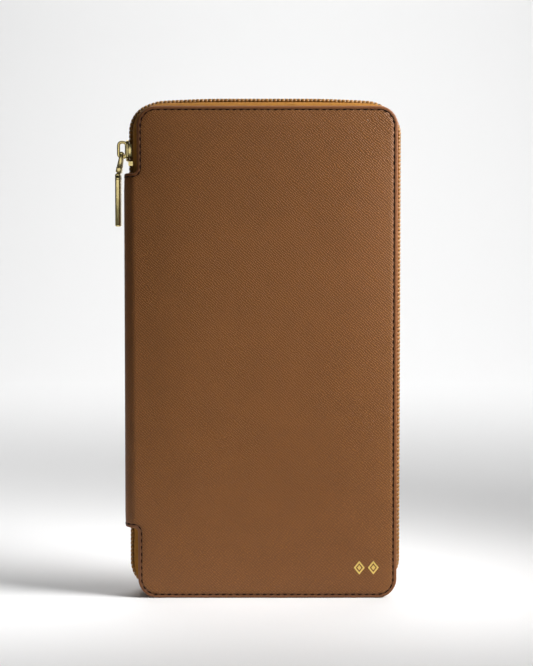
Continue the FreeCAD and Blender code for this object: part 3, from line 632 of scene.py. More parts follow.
def hollow_out(bm: Mesh, face: bmesh.types.BMFace, width: float) -> list:
    """Turn a lone face into a frame of a width, and give the frame's faces."""
    ring = inset(bm, face, width)
    bmesh.ops.delete(bm, geom=[face], context="FACES_ONLY")
    return ring


def edges_of(verts: Sequence) -> list:
    """The edges that join some vertices to each other, always in the same order."""
    among = set(verts)
    return list(dict.fromkeys(e for v in verts for e in v.link_edges if e.other_vert(v) in among))


def sharp(edges: Sequence, least: float = 1.0, most: float = math.pi) -> list:
    """Those of some edges whose faces meet at an angle between two limits, in radians."""
    return [e for e in edges if e.is_manifold and least < e.calc_face_angle(0) < most]


def span(edge: bmesh.types.BMEdge, axis: int) -> float:
    """How far an edge reaches along an axis."""
    return abs(edge.verts[0].co[axis] - edge.verts[1].co[axis])


def only(geom: Sequence, kind: type) -> list:
    """The elements of one kind in an operator's result."""
    return [g for g in geom if isinstance(g, kind)]


def draw_out(bm: Mesh, edges: Sequence, move: Sequence[float]) -> tuple[list, list]:
    """Draw a row of edges out into faces.

    Args:
        bm: the mesh.
        edges: the row.
        move: how far and which way.

    Returns:
        The far side's vertices and edges.
    """
    grown = bmesh.ops.extrude_edge_only(bm, edges=edges)["geom"]
    verts = only(grown, bmesh.types.BMVert)
    bmesh.ops.translate(bm, vec=move, verts=verts)
    return verts, only(grown, bmesh.types.BMEdge)


def rod(bm: Mesh, start: Vector, end: Vector, radius: float, sides: int = 20) -> list:
    """Add a round rod between two points.

    Args:
        bm: the mesh.
        start: one end of its axis.
        end: the other end.
        radius: its radius.
        sides: faces round it.

    Returns:
        Its vertices.
    """
    along = end - start
    turn = along.to_track_quat("Z", "Y").to_matrix().to_4x4()
    place = Matrix.Translation((start + end) / 2) @ turn
    return bmesh.ops.create_cone(
        bm,
        cap_ends=True,
        segments=sides,
        radius1=radius,
        radius2=radius,
        depth=along.length,
        matrix=place,
    )["verts"]


class Grain:
    """A small rounded grain, such as a stitch, that is laid down many times."""

    def __init__(self, size: Sequence[float], round_steps: int = 8, rings: int = 5, finish: int = 0) -> None:
        """Shape the grain once.

        Args:
            size: its full size along its own axes.
            round_steps: faces round it.
            rings: rings of faces along it.
            finish: the number of its material.
        """
        bm = bmesh.new()
        shape = Matrix.Diagonal((*size, 1))
        bmesh.ops.create_uvsphere(bm, u_segments=round_steps, v_segments=rings, radius=0.5, matrix=shape)
        for face in bm.faces:
            face.material_index = finish
        self.mesh = bpy.data.meshes.new("grain")
        bm.to_mesh(self.mesh)
        bm.free()

    def lay(self, bm: Mesh, place: Matrix) -> None:
        """Add a copy of the grain to a mesh.

        Args:
            bm: the mesh.
            place: where it lies and how it is turned.
        """
        copy = self.mesh.copy()
        copy.transform(place)
        bm.from_mesh(copy)
        bpy.data.meshes.remove(copy)

    def clear(self) -> None:
        """Drop the shape once the last grain is laid."""
        bpy.data.meshes.remove(self.mesh)


def move_points(bm: Mesh, rule: Callable[[Vector], Vector]) -> None:
    """Move every point of a mesh by a rule."""
    for vert in bm.verts:
        vert.co = rule(vert.co)


def stand_up(bm: Mesh, way: int, level: float = 0.0) -> None:
    """Stand a mesh made in the XY plane upright.

    Args:
        bm: the mesh.
        way: 1 where its +Z turns to the rear and -1 to the front.
        level: the y that its XY plane comes to.
    """
    move_points(bm, lambda p: Vector((p.x, level + way * p.z, p.y)))
    if way > 0:
        bmesh.ops.reverse_faces(bm, faces=bm.faces)


def record_flat(bm: Mesh) -> None:
    """Keep the flat coordinates of a mesh, in metres, as the UV map that its grain follows."""
    layer = bm.loops.layers.uv.new("flat")
    for face in bm.faces:
        for loop in face.loops:
            loop[layer].uv = loop.vert.co.xy


def piece(
    bm: Mesh, name: str, finishes: Sequence[Finish], crease: float = math.radians(38)
) -> bpy.types.Object:
    """Turn a mesh into a finished object at the origin.

    Args:
        bm: the mesh, which is freed.
        name: the object's name.
        finishes: its finishes, in the order of its faces' material numbers.
        crease: edges that turn more than this stay sharp.

    Returns:
        The object.
    """
    mesh = bpy.data.meshes.new(name)
    bm.to_mesh(mesh)
    bm.free()
    mesh.shade_smooth()
    mesh.set_sharp_from_angle(angle=crease)
    for finish in finishes:
        mesh.materials.append(finish.make())
    made = bpy.data.objects.new(name, mesh)
    bpy.context.scene.collection.objects.link(made)
    return made


def seat(made: bpy.types.Object, body: str, nodes: Sequence[str] = ()) -> None:
    """Ride a piece on a body and hide the nodes that it stands for.

    Args:
        made: the piece.
        body: the body that it moves with.
        nodes: the nodes that it stands for.
    """
    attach(made, body)
    settled(nodes)
    LOG.info("%s rides on %s", made.name, body)


def settled(nodes: Sequence[str] = ()) -> None:
    """Hide the nodes that a piece stands for."""
    if nodes:
        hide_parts(*nodes)


@dataclass(frozen=True)
class Route:
    """A line of straight runs with round corners, in a plane.

    Attributes:
        corners: each corner's two coordinates and its radius, which is 0 at an open end.
        closed: whether the last corner leads back to the first.
        arc_step: the longest piece of an arc.
    """

    corners: Sequence[tuple[float, float, float]]
    closed: bool = False
    arc_step: float = 0.3 * MM

    def line(self) -> list[Vector]:
        """Points along the route, near enough together to measure it."""
        points = []
        count = len(self.corners)
        for k, (x, y, radius) in enumerate(self.corners):
            here = Vector((x, y))
            if radius <= 0 or (not self.closed and k in (0, count - 1)):
                points.append(here)
                continue
            back = (Vector(self.corners[k - 1][:2]) - here).normalized()
            ahead = (Vector(self.corners[(k + 1) % count][:2]) - here).normalized()
            half = back.angle(ahead) / 2
            centre = here + (back + ahead).normalized() * (radius / math.sin(half))
            start = here + back * (radius / math.tan(half)) - centre
            turn = math.pi - 2 * half
            way = 1 if back.cross(ahead) < 0 else -1
            pieces = max(2, math.ceil(radius * turn / self.arc_step))
            angles = (way * turn * j / pieces for j in range(pieces + 1))
            points += [centre + Matrix.Rotation(angle, 2) @ start for angle in angles]
        if self.closed:
            points.append(points[0])
        return points

    def stations(self, pitch: float, shift: float = 0.5) -> list[tuple[Vector, float]]:
        """Evenly spaced places along the route.

        Args:
            pitch: the distance between places, adjusted so that a whole number fits.
            shift: where the first place lies, in pitches.

        Returns:
            Each place and the heading of the route there, in radians.
        """
        points = self.line()
        lengths = [(b - a).length for a, b in zip(points, points[1:])]
        count = max(1, round(sum(lengths) / pitch))
        spacing = sum(lengths) / count
        places = []
        due = shift * spacing
        gone = 0.0
        for a, b, length in zip(points, points[1:], lengths):
            while length > 0 and due <= gone + length and len(places) < count:
                heading = math.atan2(b.y - a.y, b.x - a.x)
                places.append((a.lerp(b, (due - gone) / length), heading))
                due += spacing
            gone += length
        return places


@dataclass(frozen=True)
class Stitch:
    """One stitch of a seam, and how far apart the stitches are."""

    pitch: float = 3.2 * MM
    length: float = 2.05 * MM
    width: float = 0.72 * MM
    height: float = 0.5 * MM
    slant: float = math.radians(5)

    def sew(self, bm: Mesh, route: Route, level: float) -> None:
        """Lay stitches along a route in the XY plane.

        Args:
            bm: the mesh that they are added to.
            route: the seam.
            level: the height of the thread's middle.
        """
        grain = Grain((self.length, self.width, self.height))
        for point, heading in route.stations(self.pitch):
            turned = Matrix.Rotation(heading + self.slant, 4, "Z")
            grain.lay(bm, Matrix.Translation((point.x, point.y, level)) @ turned)
        grain.clear()


# ---------------------------------------------------------------- leather shell


@dataclass
class LeatherShell:
    """The outer leather: one piece from the front cover round the spine to the rear cover.

    It is cut flat, given its band, groove and rim, wrapped round the spine and parted down the middle of the
    spine.

    Attributes:
        band: the plain rim outside the stitching.
        sunk: how much of the groove's depth the panel inside it stays down.
        pillow: the panel's two outer rings, each as its width and its rise.
        bulge: how far the padding lifts the leather, over bulge_run from the edges, in bulge_cell squares.
        fold_run: how far past the spine's corner the narrow columns reach.
        column: the width of the narrow strips where it bends.
    """

    corner: float = 9.0 * MM
    notch_corner: float = 2.2 * MM
    band: float = 1.4 * MM
    groove: float = 0.32 * MM
    groove_depth: float = 0.3 * MM
    sunk: float = 0.2
    stitch_level: float = -0.06 * MM
    rim: float = 0.85 * MM
    inner_rim: float = 0.4 * MM
    pillow: tuple = ((1.6 * MM, 0.10 * MM), (4.4 * MM, 0.09 * MM))
    bulge: float = 1.0 * MM
    bulge_run: float = 26.0 * MM
    bulge_cell: float = 6.5 * MM
    fold_run: float = 4.0 * MM
    column: float = 0.7 * MM
    stitch: Stitch = field(default_factory=Stitch)

    def __post_init__(self) -> None:
        """Read the shell's sizes from the frame."""
        spine_low, spine_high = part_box("spine_leather")
        cover_low, cover_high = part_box("front_cover_leather")
        self.spine_x = spine_low.x
        self.half_depth = spine_high.y
        self.bend = spine_high.x - spine_low.x
        self.flat = self.half_depth - self.bend
        self.notch = (spine_low.z, spine_high.z)
        self.thickness = cover_high.y - cover_low.y
        self.height = cover_high.z
        self.arc_end = self.flat + self.bend * math.pi / 2
        self.cover_left = self.arc_end + cover_low.x - spine_high.x
        self.half_width = self.arc_end + cover_high.x - spine_high.x

    def wrap(self, flat: Vector) -> Vector:
        """Carry a point from the flat leather to its place round the spine.

        Args:
            flat: u from the middle of the spine, positive on the front, v, and height out of the face.

        Returns:
            The point in the wallet's frame.
        """
        way = -1 if flat.x >= 0 else 1
        along = abs(flat.x)
        if along <= self.flat:
            return Vector((self.spine_x - flat.z, way * along, flat.y))
        middle = self.spine_x + self.bend
        if along >= self.arc_end:
            return Vector((middle + along - self.arc_end, way * (self.half_depth + flat.z), flat.y))
        angle = (along - self.flat) / self.bend
        reach = self.bend + flat.z
        return Vector((middle - reach * math.cos(angle), way * (self.flat + reach * math.sin(angle)), flat.y))

    def rise(self, u: float, v: float) -> float:
        """How far the padding lifts the leather at a place on a cover.

        Args:
            u: the place across the flat leather.
            v: the place up it.

        Returns:
            The lift.
        """
        runs = (min(abs(u) - self.arc_end, self.half_width - abs(u)), min(v, self.height - v))
        across, along = (math.sin(math.pi / 2 * clamp(r / self.bulge_run)) for r in runs)
        return self.bulge * across * along

    def padded(self, flat: Vector) -> Vector:
        """Lift a point near the leather's face by the padding."""
        if flat.z < -self.thickness / 2:
            return flat
        return flat + Vector((0, 0, self.rise(flat.x, flat.y)))

    def on_cover(self, x: float, z: float, lift: float) -> Vector:
        """A point of the front cover's face, lifted off the plain leather."""
        u = self.arc_end + x - self.spine_x - self.bend
        return self.wrap(self.padded(Vector((u, z, self.face_level() + lift))))

    def face_level(self) -> float:
        """The height of the panel inside the stitching over the flat leather's face."""
        return sum(rise for _, rise in self.pillow) - self.sunk * self.groove_depth

    def outline(self, bm: Mesh) -> bmesh.types.BMFace:
        """Cut the flat leather: two covers joined by the spine, with round corners and notches."""
        bmesh.ops.create_grid(bm, x_segments=1, y_segments=1, size=0.5)
        bmesh.ops.scale(bm, vec=(2 * self.half_width, self.height, 1), verts=bm.verts)
        bmesh.ops.translate(bm, vec=(0, self.height / 2, 0), verts=bm.verts)
        for u in (-self.cover_left, self.cover_left):
            slice_mesh(bm, (u, 0, 0), (1, 0, 0))
        for v in self.notch:
            slice_mesh(bm, (0, v, 0), (0, 1, 0))
        low, high = self.notch
        centres = {f: f.calc_center_median() for f in bm.faces}
        notches = [f for f, c in centres.items() if abs(c.x) < self.cover_left and not low < c.y < high]
        bmesh.ops.delete(bm, geom=notches, context="FACES")
        bmesh.ops.dissolve_faces(bm, faces=bm.faces[:], use_verts=False)
        inner, outer, straight = [], [], []
        for vert in bm.verts:
            if min(vert.co.y, self.height - vert.co.y) < TINY:
                outer.append(vert)
            elif abs(abs(vert.co.x) - self.cover_left) < TINY:
                inner.append(vert)
            else:
                straight.append(vert)
        bmesh.ops.dissolve_verts(bm, verts=straight)
        round_corners(bm, outer, self.corner, 10)
        round_corners(bm, inner, self.notch_corner, 5)
        bm.faces.ensure_lookup_table()
        return bm.faces[0]

    def flat_leather(self) -> Mesh:
        """The leather over its board, still flat: band, stitch groove and a slightly padded panel.

        Returns:
            The mesh, with material 0 grained, 1 turned edge, 2 lining and 3 the groove, painted darker as
            shade.
        """
        bm = bmesh.new()
        self.outline(bm)
        bmesh.ops.solidify(bm, geom=bm.faces[:], thickness=self.thickness)
        bm.normal_update()
        panel = max(bm.faces, key=lambda f: f.normal.z * f.calc_area())
        back = min(bm.faces, key=lambda f: f.normal.z * f.calc_area())
        rim, inner_rim = list(panel.edges), list(back.edges)
        for f in bm.faces:
            f.material_index = 1
        back_up = self.groove_depth * (1 - self.sunk)
        # material 3, on the groove's two rings, is painted shade
        rings = [(self.band, 0.0, 1), (self.groove, -self.groove_depth, 3), (self.groove, back_up, 3)]
        rings += [(width, rise, 0) for width, rise in self.pillow]
        for width, rise, dye in rings:
            ring = inset(bm, panel, width, rise)
            for face in ring:
                face.material_index = dye
        panel.material_index = 0
        soften(bm, rim, self.rim, 4)
        soften(bm, inner_rim, self.inner_rim, 2)
        self.cut_columns(bm)
        for face in bm.faces:
            centre = face.calc_center_median()
            if centre.z < -0.9 * self.thickness and abs(centre.x) < self.arc_end:
                face.material_index = 2
        record_flat(bm)
        move_points(bm, self.padded)
        return bm

    def cut_columns(self, bm: Mesh) -> None:
        """Cut the leather into narrow columns where it bends."""
        count = math.ceil((self.arc_end + self.fold_run - self.flat) / self.column)
        for k in range(count + 1):
            along = self.flat + k * self.column
            for way in (-1, 1):
                slice_mesh(bm, (way * along, 0, 0), (1, 0, 0))
        for k in range(1, math.ceil((self.half_width - self.arc_end) / self.bulge_cell)):
            for way in (-1, 1):
                slice_mesh(bm, (way * (self.arc_end + k * self.bulge_cell), 0, 0), (1, 0, 0))
        for k in range(1, math.ceil(self.height / self.bulge_cell)):
            slice_mesh(bm, (0, k * self.bulge_cell, 0), (0, 1, 0))

    def seam(self) -> Route:
        """The stitch line of the front half, from the middle of the spine round to it again."""
        inset = self.band + self.groove
        left = self.cover_left + inset
        right = self.half_width - inset
        low, high = self.notch
        tight = self.notch_corner + inset
        wide = self.corner - inset
        return Route(
            (
                (0, high - inset, 0),
                (left, high - inset, tight),
                (left, self.height - inset, wide),
                (right, self.height - inset, wide),
                (right, inset, wide),
                (left, inset, wide),
                (left, low + inset, tight),
                (0, low + inset, 0),
            )
        )

    def bend_at_fold(self, made: bpy.types.Object) -> None:
        """Bake a half's placement into its mesh."""
        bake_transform(made)

    def build_half(self, side: Side) -> None:
        """Make one half of the shell and its stitching."""
        way = -side.value
        bm = self.flat_leather()
        slice_mesh(bm, (0, 0, 0), (way, 0, 0), drop_behind=True, close=True)
        move_points(bm, self.wrap)
        half = piece(bm, f"{side.word}_leather_shell", (SHELL_GRAIN, TURNED_EDGE, LINING_LEATHER, GROOVE_SHADE))
        self.bend_at_fold(half)
        nodes = [f"{side.word}_cover_leather", f"{side.word}_cover_board", f"{side.word}_cover_padding"]
        if side is Side.FRONT:
            nodes += ["spine_leather", "spine_board", "spine_lining"]
        settled(nodes)
        thread = bmesh.new()
        self.stitch.sew(thread, self.seam(), self.stitch_level)
        if side is Side.REAR:
            bmesh.ops.scale(thread, vec=(-1, 1, 1), verts=thread.verts)
            bmesh.ops.reverse_faces(thread, faces=thread.faces)
        move_points(thread, lambda p: self.wrap(self.padded(p)))
        seam = piece(thread, f"{side.word}_shell_stitching", (COVER_THREAD,))
        self.bend_at_fold(seam)
        settled()
        LOG.info("%s half of the leather shell bends at its fold", side.word)

    def build(self) -> None:
        """Make both halves."""
        for side in Side:
            self.build_half(side)


# ---------------------------------------------------------------- main zip


@dataclass
class MainZip:
    """The zip round three sides: two tapes that curve out of the covers, and the chain where they meet.

    Each half has three pieces: the long run that moves with its cover, and an end beside the spine at top
    and bottom.

    Attributes:
        droop: how far the chain is drawn in near the corners, from droop_start over droop_run along the top
            and bottom, from nothing at the spine to all of it droop_spine away.
        droop_band: where the drawing-in starts and how fast it grows, as shares of half the height.
        fullness: how roundly the tape curves from the cover to the chain, in a number of levels.
        cuts: extra cuts near each corner, a cut apart.
        tuck: how far the tape's ends reach behind the spine's leather.
        turn: a coil turn's length, width and thickness.
        thread: the same of the thread that holds it, and thread_place its shares out and inwards.
        bend_start: not used.
        bend_rest: not used.
    """

    cover_corner: float = 9.0 * MM
    chain_corner: float = 14.0 * MM
    droop: float = 1.5 * MM
    droop_start: float = 6.0 * MM
    droop_run: float = 38.0 * MM
    droop_spine: float = 9.0 * MM
    droop_band: tuple = (0.8, 0.15)
    tape_inset: float = 0.4 * MM
    tuck_inset: float = 2.6 * MM
    tape: float = 0.5 * MM
    chain_flat: float = 4.2 * MM
    fullness: float = 0.8
    levels: int = 9
    cuts: int = 7
    cut: float = 7.0 * MM
    tuck: float = 3.0 * MM
    coil_height: float = 1.8 * MM
    coil_reach: float = 2.95 * MM
    pitch: float = 1.9 * MM
    turn: tuple = (2.7 * MM, 3.3 * MM, 1.85 * MM)
    slant: float = math.radians(11)
    thread: tuple = (1.995 * MM, 0.45 * MM, 0.5 * MM)
    thread_place: tuple = (0.42, 0.28)
    bend_start: float = 0.6 * MM
    bend_rest: float = 3.0 * MM
    row: float = 1.6 * MM

    def __post_init__(self) -> None:
        """Read the zip's sizes from the frame."""
        cover_low, cover_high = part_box("front_cover_leather")
        tape_low, tape_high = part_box("front_zip_tape")
        coil_low, coil_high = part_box("front_zip_coil")
        ends_low, ends_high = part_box("front_coil_ends")
        self.cover_level = -cover_high.y
        self.gap = -tape_high.y
        self.cover = (cover_low.x, cover_high.x, cover_low.z, cover_high.z)
        self.chain = (
            ends_low.x + self.coil_height,
            coil_high.x - self.coil_height,
            coil_low.z + self.coil_height,
            coil_high.z - self.coil_height,
        )
        self.ends = (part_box("zip_bottom_stop")[1].z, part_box("spine_leather")[1].z)
        self.arc_x = self.chain[0] + self.chain_corner
        self.arc_z = (self.chain[2] + self.chain_corner, self.chain[3] - self.chain_corner)
        self.middle_z = (self.chain[2] + self.chain[3]) / 2

    def drawn_in(self, point: Vector, share: float) -> Vector:
        """Draw the chain in towards the corners of the wallet, where the tape is gathered.

        Args:
            point: a point in the XY plane.
            share: how much of the drawing-in it takes.

        Returns:
            The point, moved towards the middle.
        """
        left, right, bottom, top = self.chain
        start, growth = self.droop_band
        reach = clamp((min(point.x - left, right - point.x) - self.droop_start) / self.droop_run)
        pull = self.droop * share * (1 - math.sin(math.pi / 2 * reach))
        pull *= clamp((point.x - left) / self.droop_spine)
        pull *= clamp((abs(point.y - self.middle_z) / (top - self.middle_z) - start) / growth)
        return point + Vector((0, -pull if point.y > self.middle_z else pull, 0))

    def loop_at(self, bm: Mesh, share: float, inset: float, depth: float) -> list:
        """Add the outline of the tape at one depth.

        Args:
            bm: the mesh.
            share: how far the outline has come from the cover's to the chain's.
            inset: how far inside the cover's outline it starts.
            depth: its distance off the wallet's middle plane.

        Returns:
            The outline's edges.
        """
        left, right, bottom, top = (
            a + way * inset + (b - a - way * inset) * share
            for a, b, way in zip(self.cover, self.chain, (1, -1, 1, -1))
        )
        radius = (self.cover_corner - inset) * (1 - share) + self.chain_corner * share
        face = rounded_face(bm, left, right, bottom, top, radius, 12)
        edges = list(face.edges)
        bmesh.ops.translate(bm, vec=(0, 0, depth), verts=face.verts)
        bmesh.ops.delete(bm, geom=[face], context="FACES_ONLY")
        return edges

    def whole_tape(self) -> Mesh:
        """The tape of the front half as a closed ring, with height as the depth off the middle plane."""
        bm = bmesh.new()
        loops = [self.loop_at(bm, 0, self.tuck_inset, self.cover_level - self.tape / 2)]
        for k in range(self.levels):
            way = k / (self.levels - 1)
            share = math.sin(math.pi / 2 * way**self.fullness)
            depth = self.cover_level - self.tape / 2 + (self.chain_flat - self.cover_level) * way
            loops.append(self.loop_at(bm, share, self.tape_inset, depth))
        loops.append(self.loop_at(bm, 1, 0, self.gap))
        for a, b in zip(loops, loops[1:]):
            bmesh.ops.bridge_loops(bm, edges=a + b)
        for k in range(1, self.cuts + 1):
            for x in (self.chain[0] + k * self.cut, self.chain[1] - k * self.cut):
                slice_mesh(bm, (x, 0, 0), (1, 0, 0))
        move_points(bm, lambda p: self.drawn_in(p, (self.cover_level - p.z) / (self.cover_level - self.gap)))
        bmesh.ops.recalc_face_normals(bm, faces=bm.faces)
        middle = Vector(((self.chain[0] + self.chain[1]) / 2, self.middle_z, 0))
        outwards = sum(f.normal.dot(f.calc_center_median() - middle) * f.calc_area() for f in bm.faces)
        if outwards < 0:
            bmesh.ops.reverse_faces(bm, faces=bm.faces)
        return bm

    def cut_tape(self, end: Optional[ZipEnd]) -> Mesh:
        """The tape's long run, or its end beside the spine.

        Args:
            end: which end, or None for the long run.

        Returns:
            The open strip with its thickness.
        """
        bm = self.whole_tape()
        if end is None:
            slice_mesh(bm, (self.arc_x, 0, 0), (1, 0, 0), drop_behind=True)
        else:
            slice_mesh(bm, (self.arc_x, 0, 0), (-1, 0, 0), drop_behind=True)
            edge = self.ends[1] if end is ZipEnd.UPPER else self.ends[0]
            slice_mesh(bm, (0, edge - end.value * self.tuck, 0), (0, end.value, 0), drop_behind=True)
            rows = math.ceil(abs(self.arc_z[(end.value + 1) // 2] - edge) / self.row)
            for k in range(rows + 1):
                slice_mesh(bm, (0, edge + end.value * k * self.row, 0), (0, 1, 0))
        bmesh.ops.solidify(bm, geom=bm.faces[:], thickness=self.tape)
        return bm

    def chain_route(self) -> Route:
        """The middle of the coils, from the spine's upper end round to its lower one."""
        out = self.coil_height / 2
        left, right, bottom, top = self.chain
        radius = self.chain_corner + out
        return Route(
            (
                (left - out, self.ends[1], 0),
                (left - out, top + out, radius),
                (right + out, top + out, radius),
                (right + out, bottom - out, radius),
                (left - out, bottom - out, radius),
                (left - out, self.ends[0], 0),
            )
        )

    def coil(self, side: Side, end: Optional[ZipEnd]) -> Mesh:
        """The turns of one coil over one stretch, with the thread that sews them down.

        Args:
            side: the half, whose turns lie between those of the other.
            end: which end, or None for the long run.

        Returns:
            The turns, as material 0, and their thread, as material 1.
        """
        bm = bmesh.new()
        long, across, proud = self.turn
        filament = Grain((long, proud, across), 8, 6)
        thread = Grain(self.thread, 6, 4, 1)
        middle = self.coil_reach - across / 2
        lean = Matrix.Rotation(self.slant, 4, "Y")
        beyond, inwards = self.thread_place
        out = Matrix.Translation((0, proud * beyond, self.coil_reach * inwards))
        shift = 0.25 if side is Side.FRONT else 0.75
        for point, heading in self.chain_route().stations(self.pitch, shift):
            beside = point.x < self.arc_x
            upper = point.y > self.middle_z
            here = None if not beside else (ZipEnd.UPPER if upper else ZipEnd.LOWER)
            if here is not end:
                continue
            point = self.drawn_in(point.to_3d(), 1)
            here_turned = Matrix.Translation((point.x, point.y, middle)) @ Matrix.Rotation(heading, 4, "Z")
            filament.lay(bm, here_turned @ lean)
            thread.lay(bm, here_turned @ out)
        filament.clear()
        thread.clear()
        return bm

    def settle(self, made: bpy.types.Object, side: Side, end: Optional[ZipEnd], node: str) -> None:
        """Ride a stretch on its cover, or leave an end where it is built, with its placement baked into its
        mesh.

        Args:
            made: the stretch.
            side: its half.
            end: which end it is, or None for the long run.
            node: the node that it stands for, which a lower end shares with the upper one.
        """
        nodes = [] if end is ZipEnd.LOWER else [node]
        if end is None:
            seat(made, side.cover, nodes)
            return
        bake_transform(made)
        settled(nodes)
        LOG.info("%s bends between the spine and %s", made.name, side.cover)

    def build(self) -> None:
        """Make both halves of the zip."""
        for side in Side:
            for end in (None, *ZipEnd):
                where = "run" if end is None else f"{end.name.lower()}_end"
                stretches = {
                    "tape": (self.cut_tape(end), (ZIP_TAPE,)),
                    "coil": (self.coil(side, end), (ZIP_COIL, COIL_THREAD)),
                }
                for kind, (mesh, finishes) in stretches.items():
                    stand_up(mesh, side.value)
                    made = piece(mesh, f"{side.word}_{kind}_{where}", finishes)
                    node = f"zip_{kind}" if end is None else f"{kind}_ends"
                    self.settle(made, side, end, f"{side.word}_{node}")


# ---------------------------------------------------------------- sliders and pulls


@dataclass
class Slider:
    """A zip slider: two wings joined by a post, flanges beside the chain and a bridge for the pull.

    It is made in the chain's own frame: X out of the tape, Y across the chain, Z along it.

    Attributes:
        body: its body, whose node it also stands for.
        place: where it sits in the wallet.
        wing: a wing's thickness.
        coil_side: from the chain's middle to the coil's side.
        post: half the post's breadth, and its length.
        bridge: the bridge's lower and upper end; bridge_reach is how far it stands off the wing.
        strand: the thickness of the bridge's strand, rounded by a share of it, strand_round.
        flange: the flanges' length, and the softness of their edges, as a share of the slider's.
    """

    name: str
    body: str
    place: Matrix
    length: float
    width: float
    wing: float
    clearance: float
    coil_height: float
    coil_side: float
    tape: float
    post: tuple
    bridge: tuple
    bridge_reach: float
    strand: float
    bridge_width: float
    bridge_corner: float
    edge: float
    strand_round: float = 0.3
    flange: float = 0.6

    def wing_plate(self, bm: Mesh, low: float) -> None:
        """Add one wing, with well-rounded corners and softened edges."""
        high, wide, tall = low + self.wing, self.width / 2, self.length / 2
        verts = block(bm, (low, -wide, -tall), (high, wide, tall))
        soften(bm, [e for e in edges_of(verts) if span(e, 0) > self.wing / 2], self.width / 4, 6)
        faces = [f for f in bm.faces if all(low - TINY <= v.co.x <= high + TINY for v in f.verts)]
        flat = [f for f in faces if abs(f.normal.x) > MOSTLY or len(f.verts) > 4]
        soften(bm, dict.fromkeys(e for f in flat for e in f.edges), self.edge, 3)

    def loop(self, top: float) -> Mesh:
        """The bridge, a rounded strand that stands on the outer wing."""
        bm = bmesh.new()
        low, high = self.bridge
        foot, crest = top - self.wing / 2, top + self.bridge_reach
        outer = rounded_face(bm, foot, crest, low, high, self.bridge_corner, 6)
        ring = hollow_out(bm, outer, self.strand)
        grown = bmesh.ops.extrude_face_region(bm, geom=ring, use_keep_orig=True)["geom"]
        bmesh.ops.translate(bm, vec=(0, 0, self.bridge_width), verts=only(grown, bmesh.types.BMVert))
        bmesh.ops.recalc_face_normals(bm, faces=bm.faces)
        rims = [e for e in bm.edges if sum(abs(f.normal.z) > MOSTLY for f in e.link_faces) == 1]
        move_points(bm, lambda p: Vector((p.x, self.bridge_width / 2 - p.z, p.y)))
        bmesh.ops.recalc_face_normals(bm, faces=bm.faces)
        soften(bm, rims, self.strand * self.strand_round, 3)
        return bm

    def build(self) -> None:
        """Make the slider and seat it on its body."""
        bm = bmesh.new()
        top = self.coil_height + self.clearance
        floor = -self.tape - self.clearance - self.wing
        self.wing_plate(bm, top)
        self.wing_plate(bm, floor)
        half, long = self.post
        block(bm, (floor + self.wing / 2, -half, -long / 2), (top + self.wing / 2, half, long / 2))
        reach = self.flange * self.length / 2
        for way in (-1, 1):
            near, far = sorted((way * (self.coil_side + self.clearance), way * self.width / 2))
            verts = block(bm, (self.clearance, near, -reach), (top + self.wing / 2, far, reach))
            soften(bm, edges_of(verts), self.edge * self.flange, 2)
        merge(bm, self.loop(top + self.wing))
        bmesh.ops.transform(bm, matrix=self.place, verts=bm.verts)
        seat(piece(bm, self.name, (PALE_GOLD,), METAL_CREASE), self.body, [self.body])


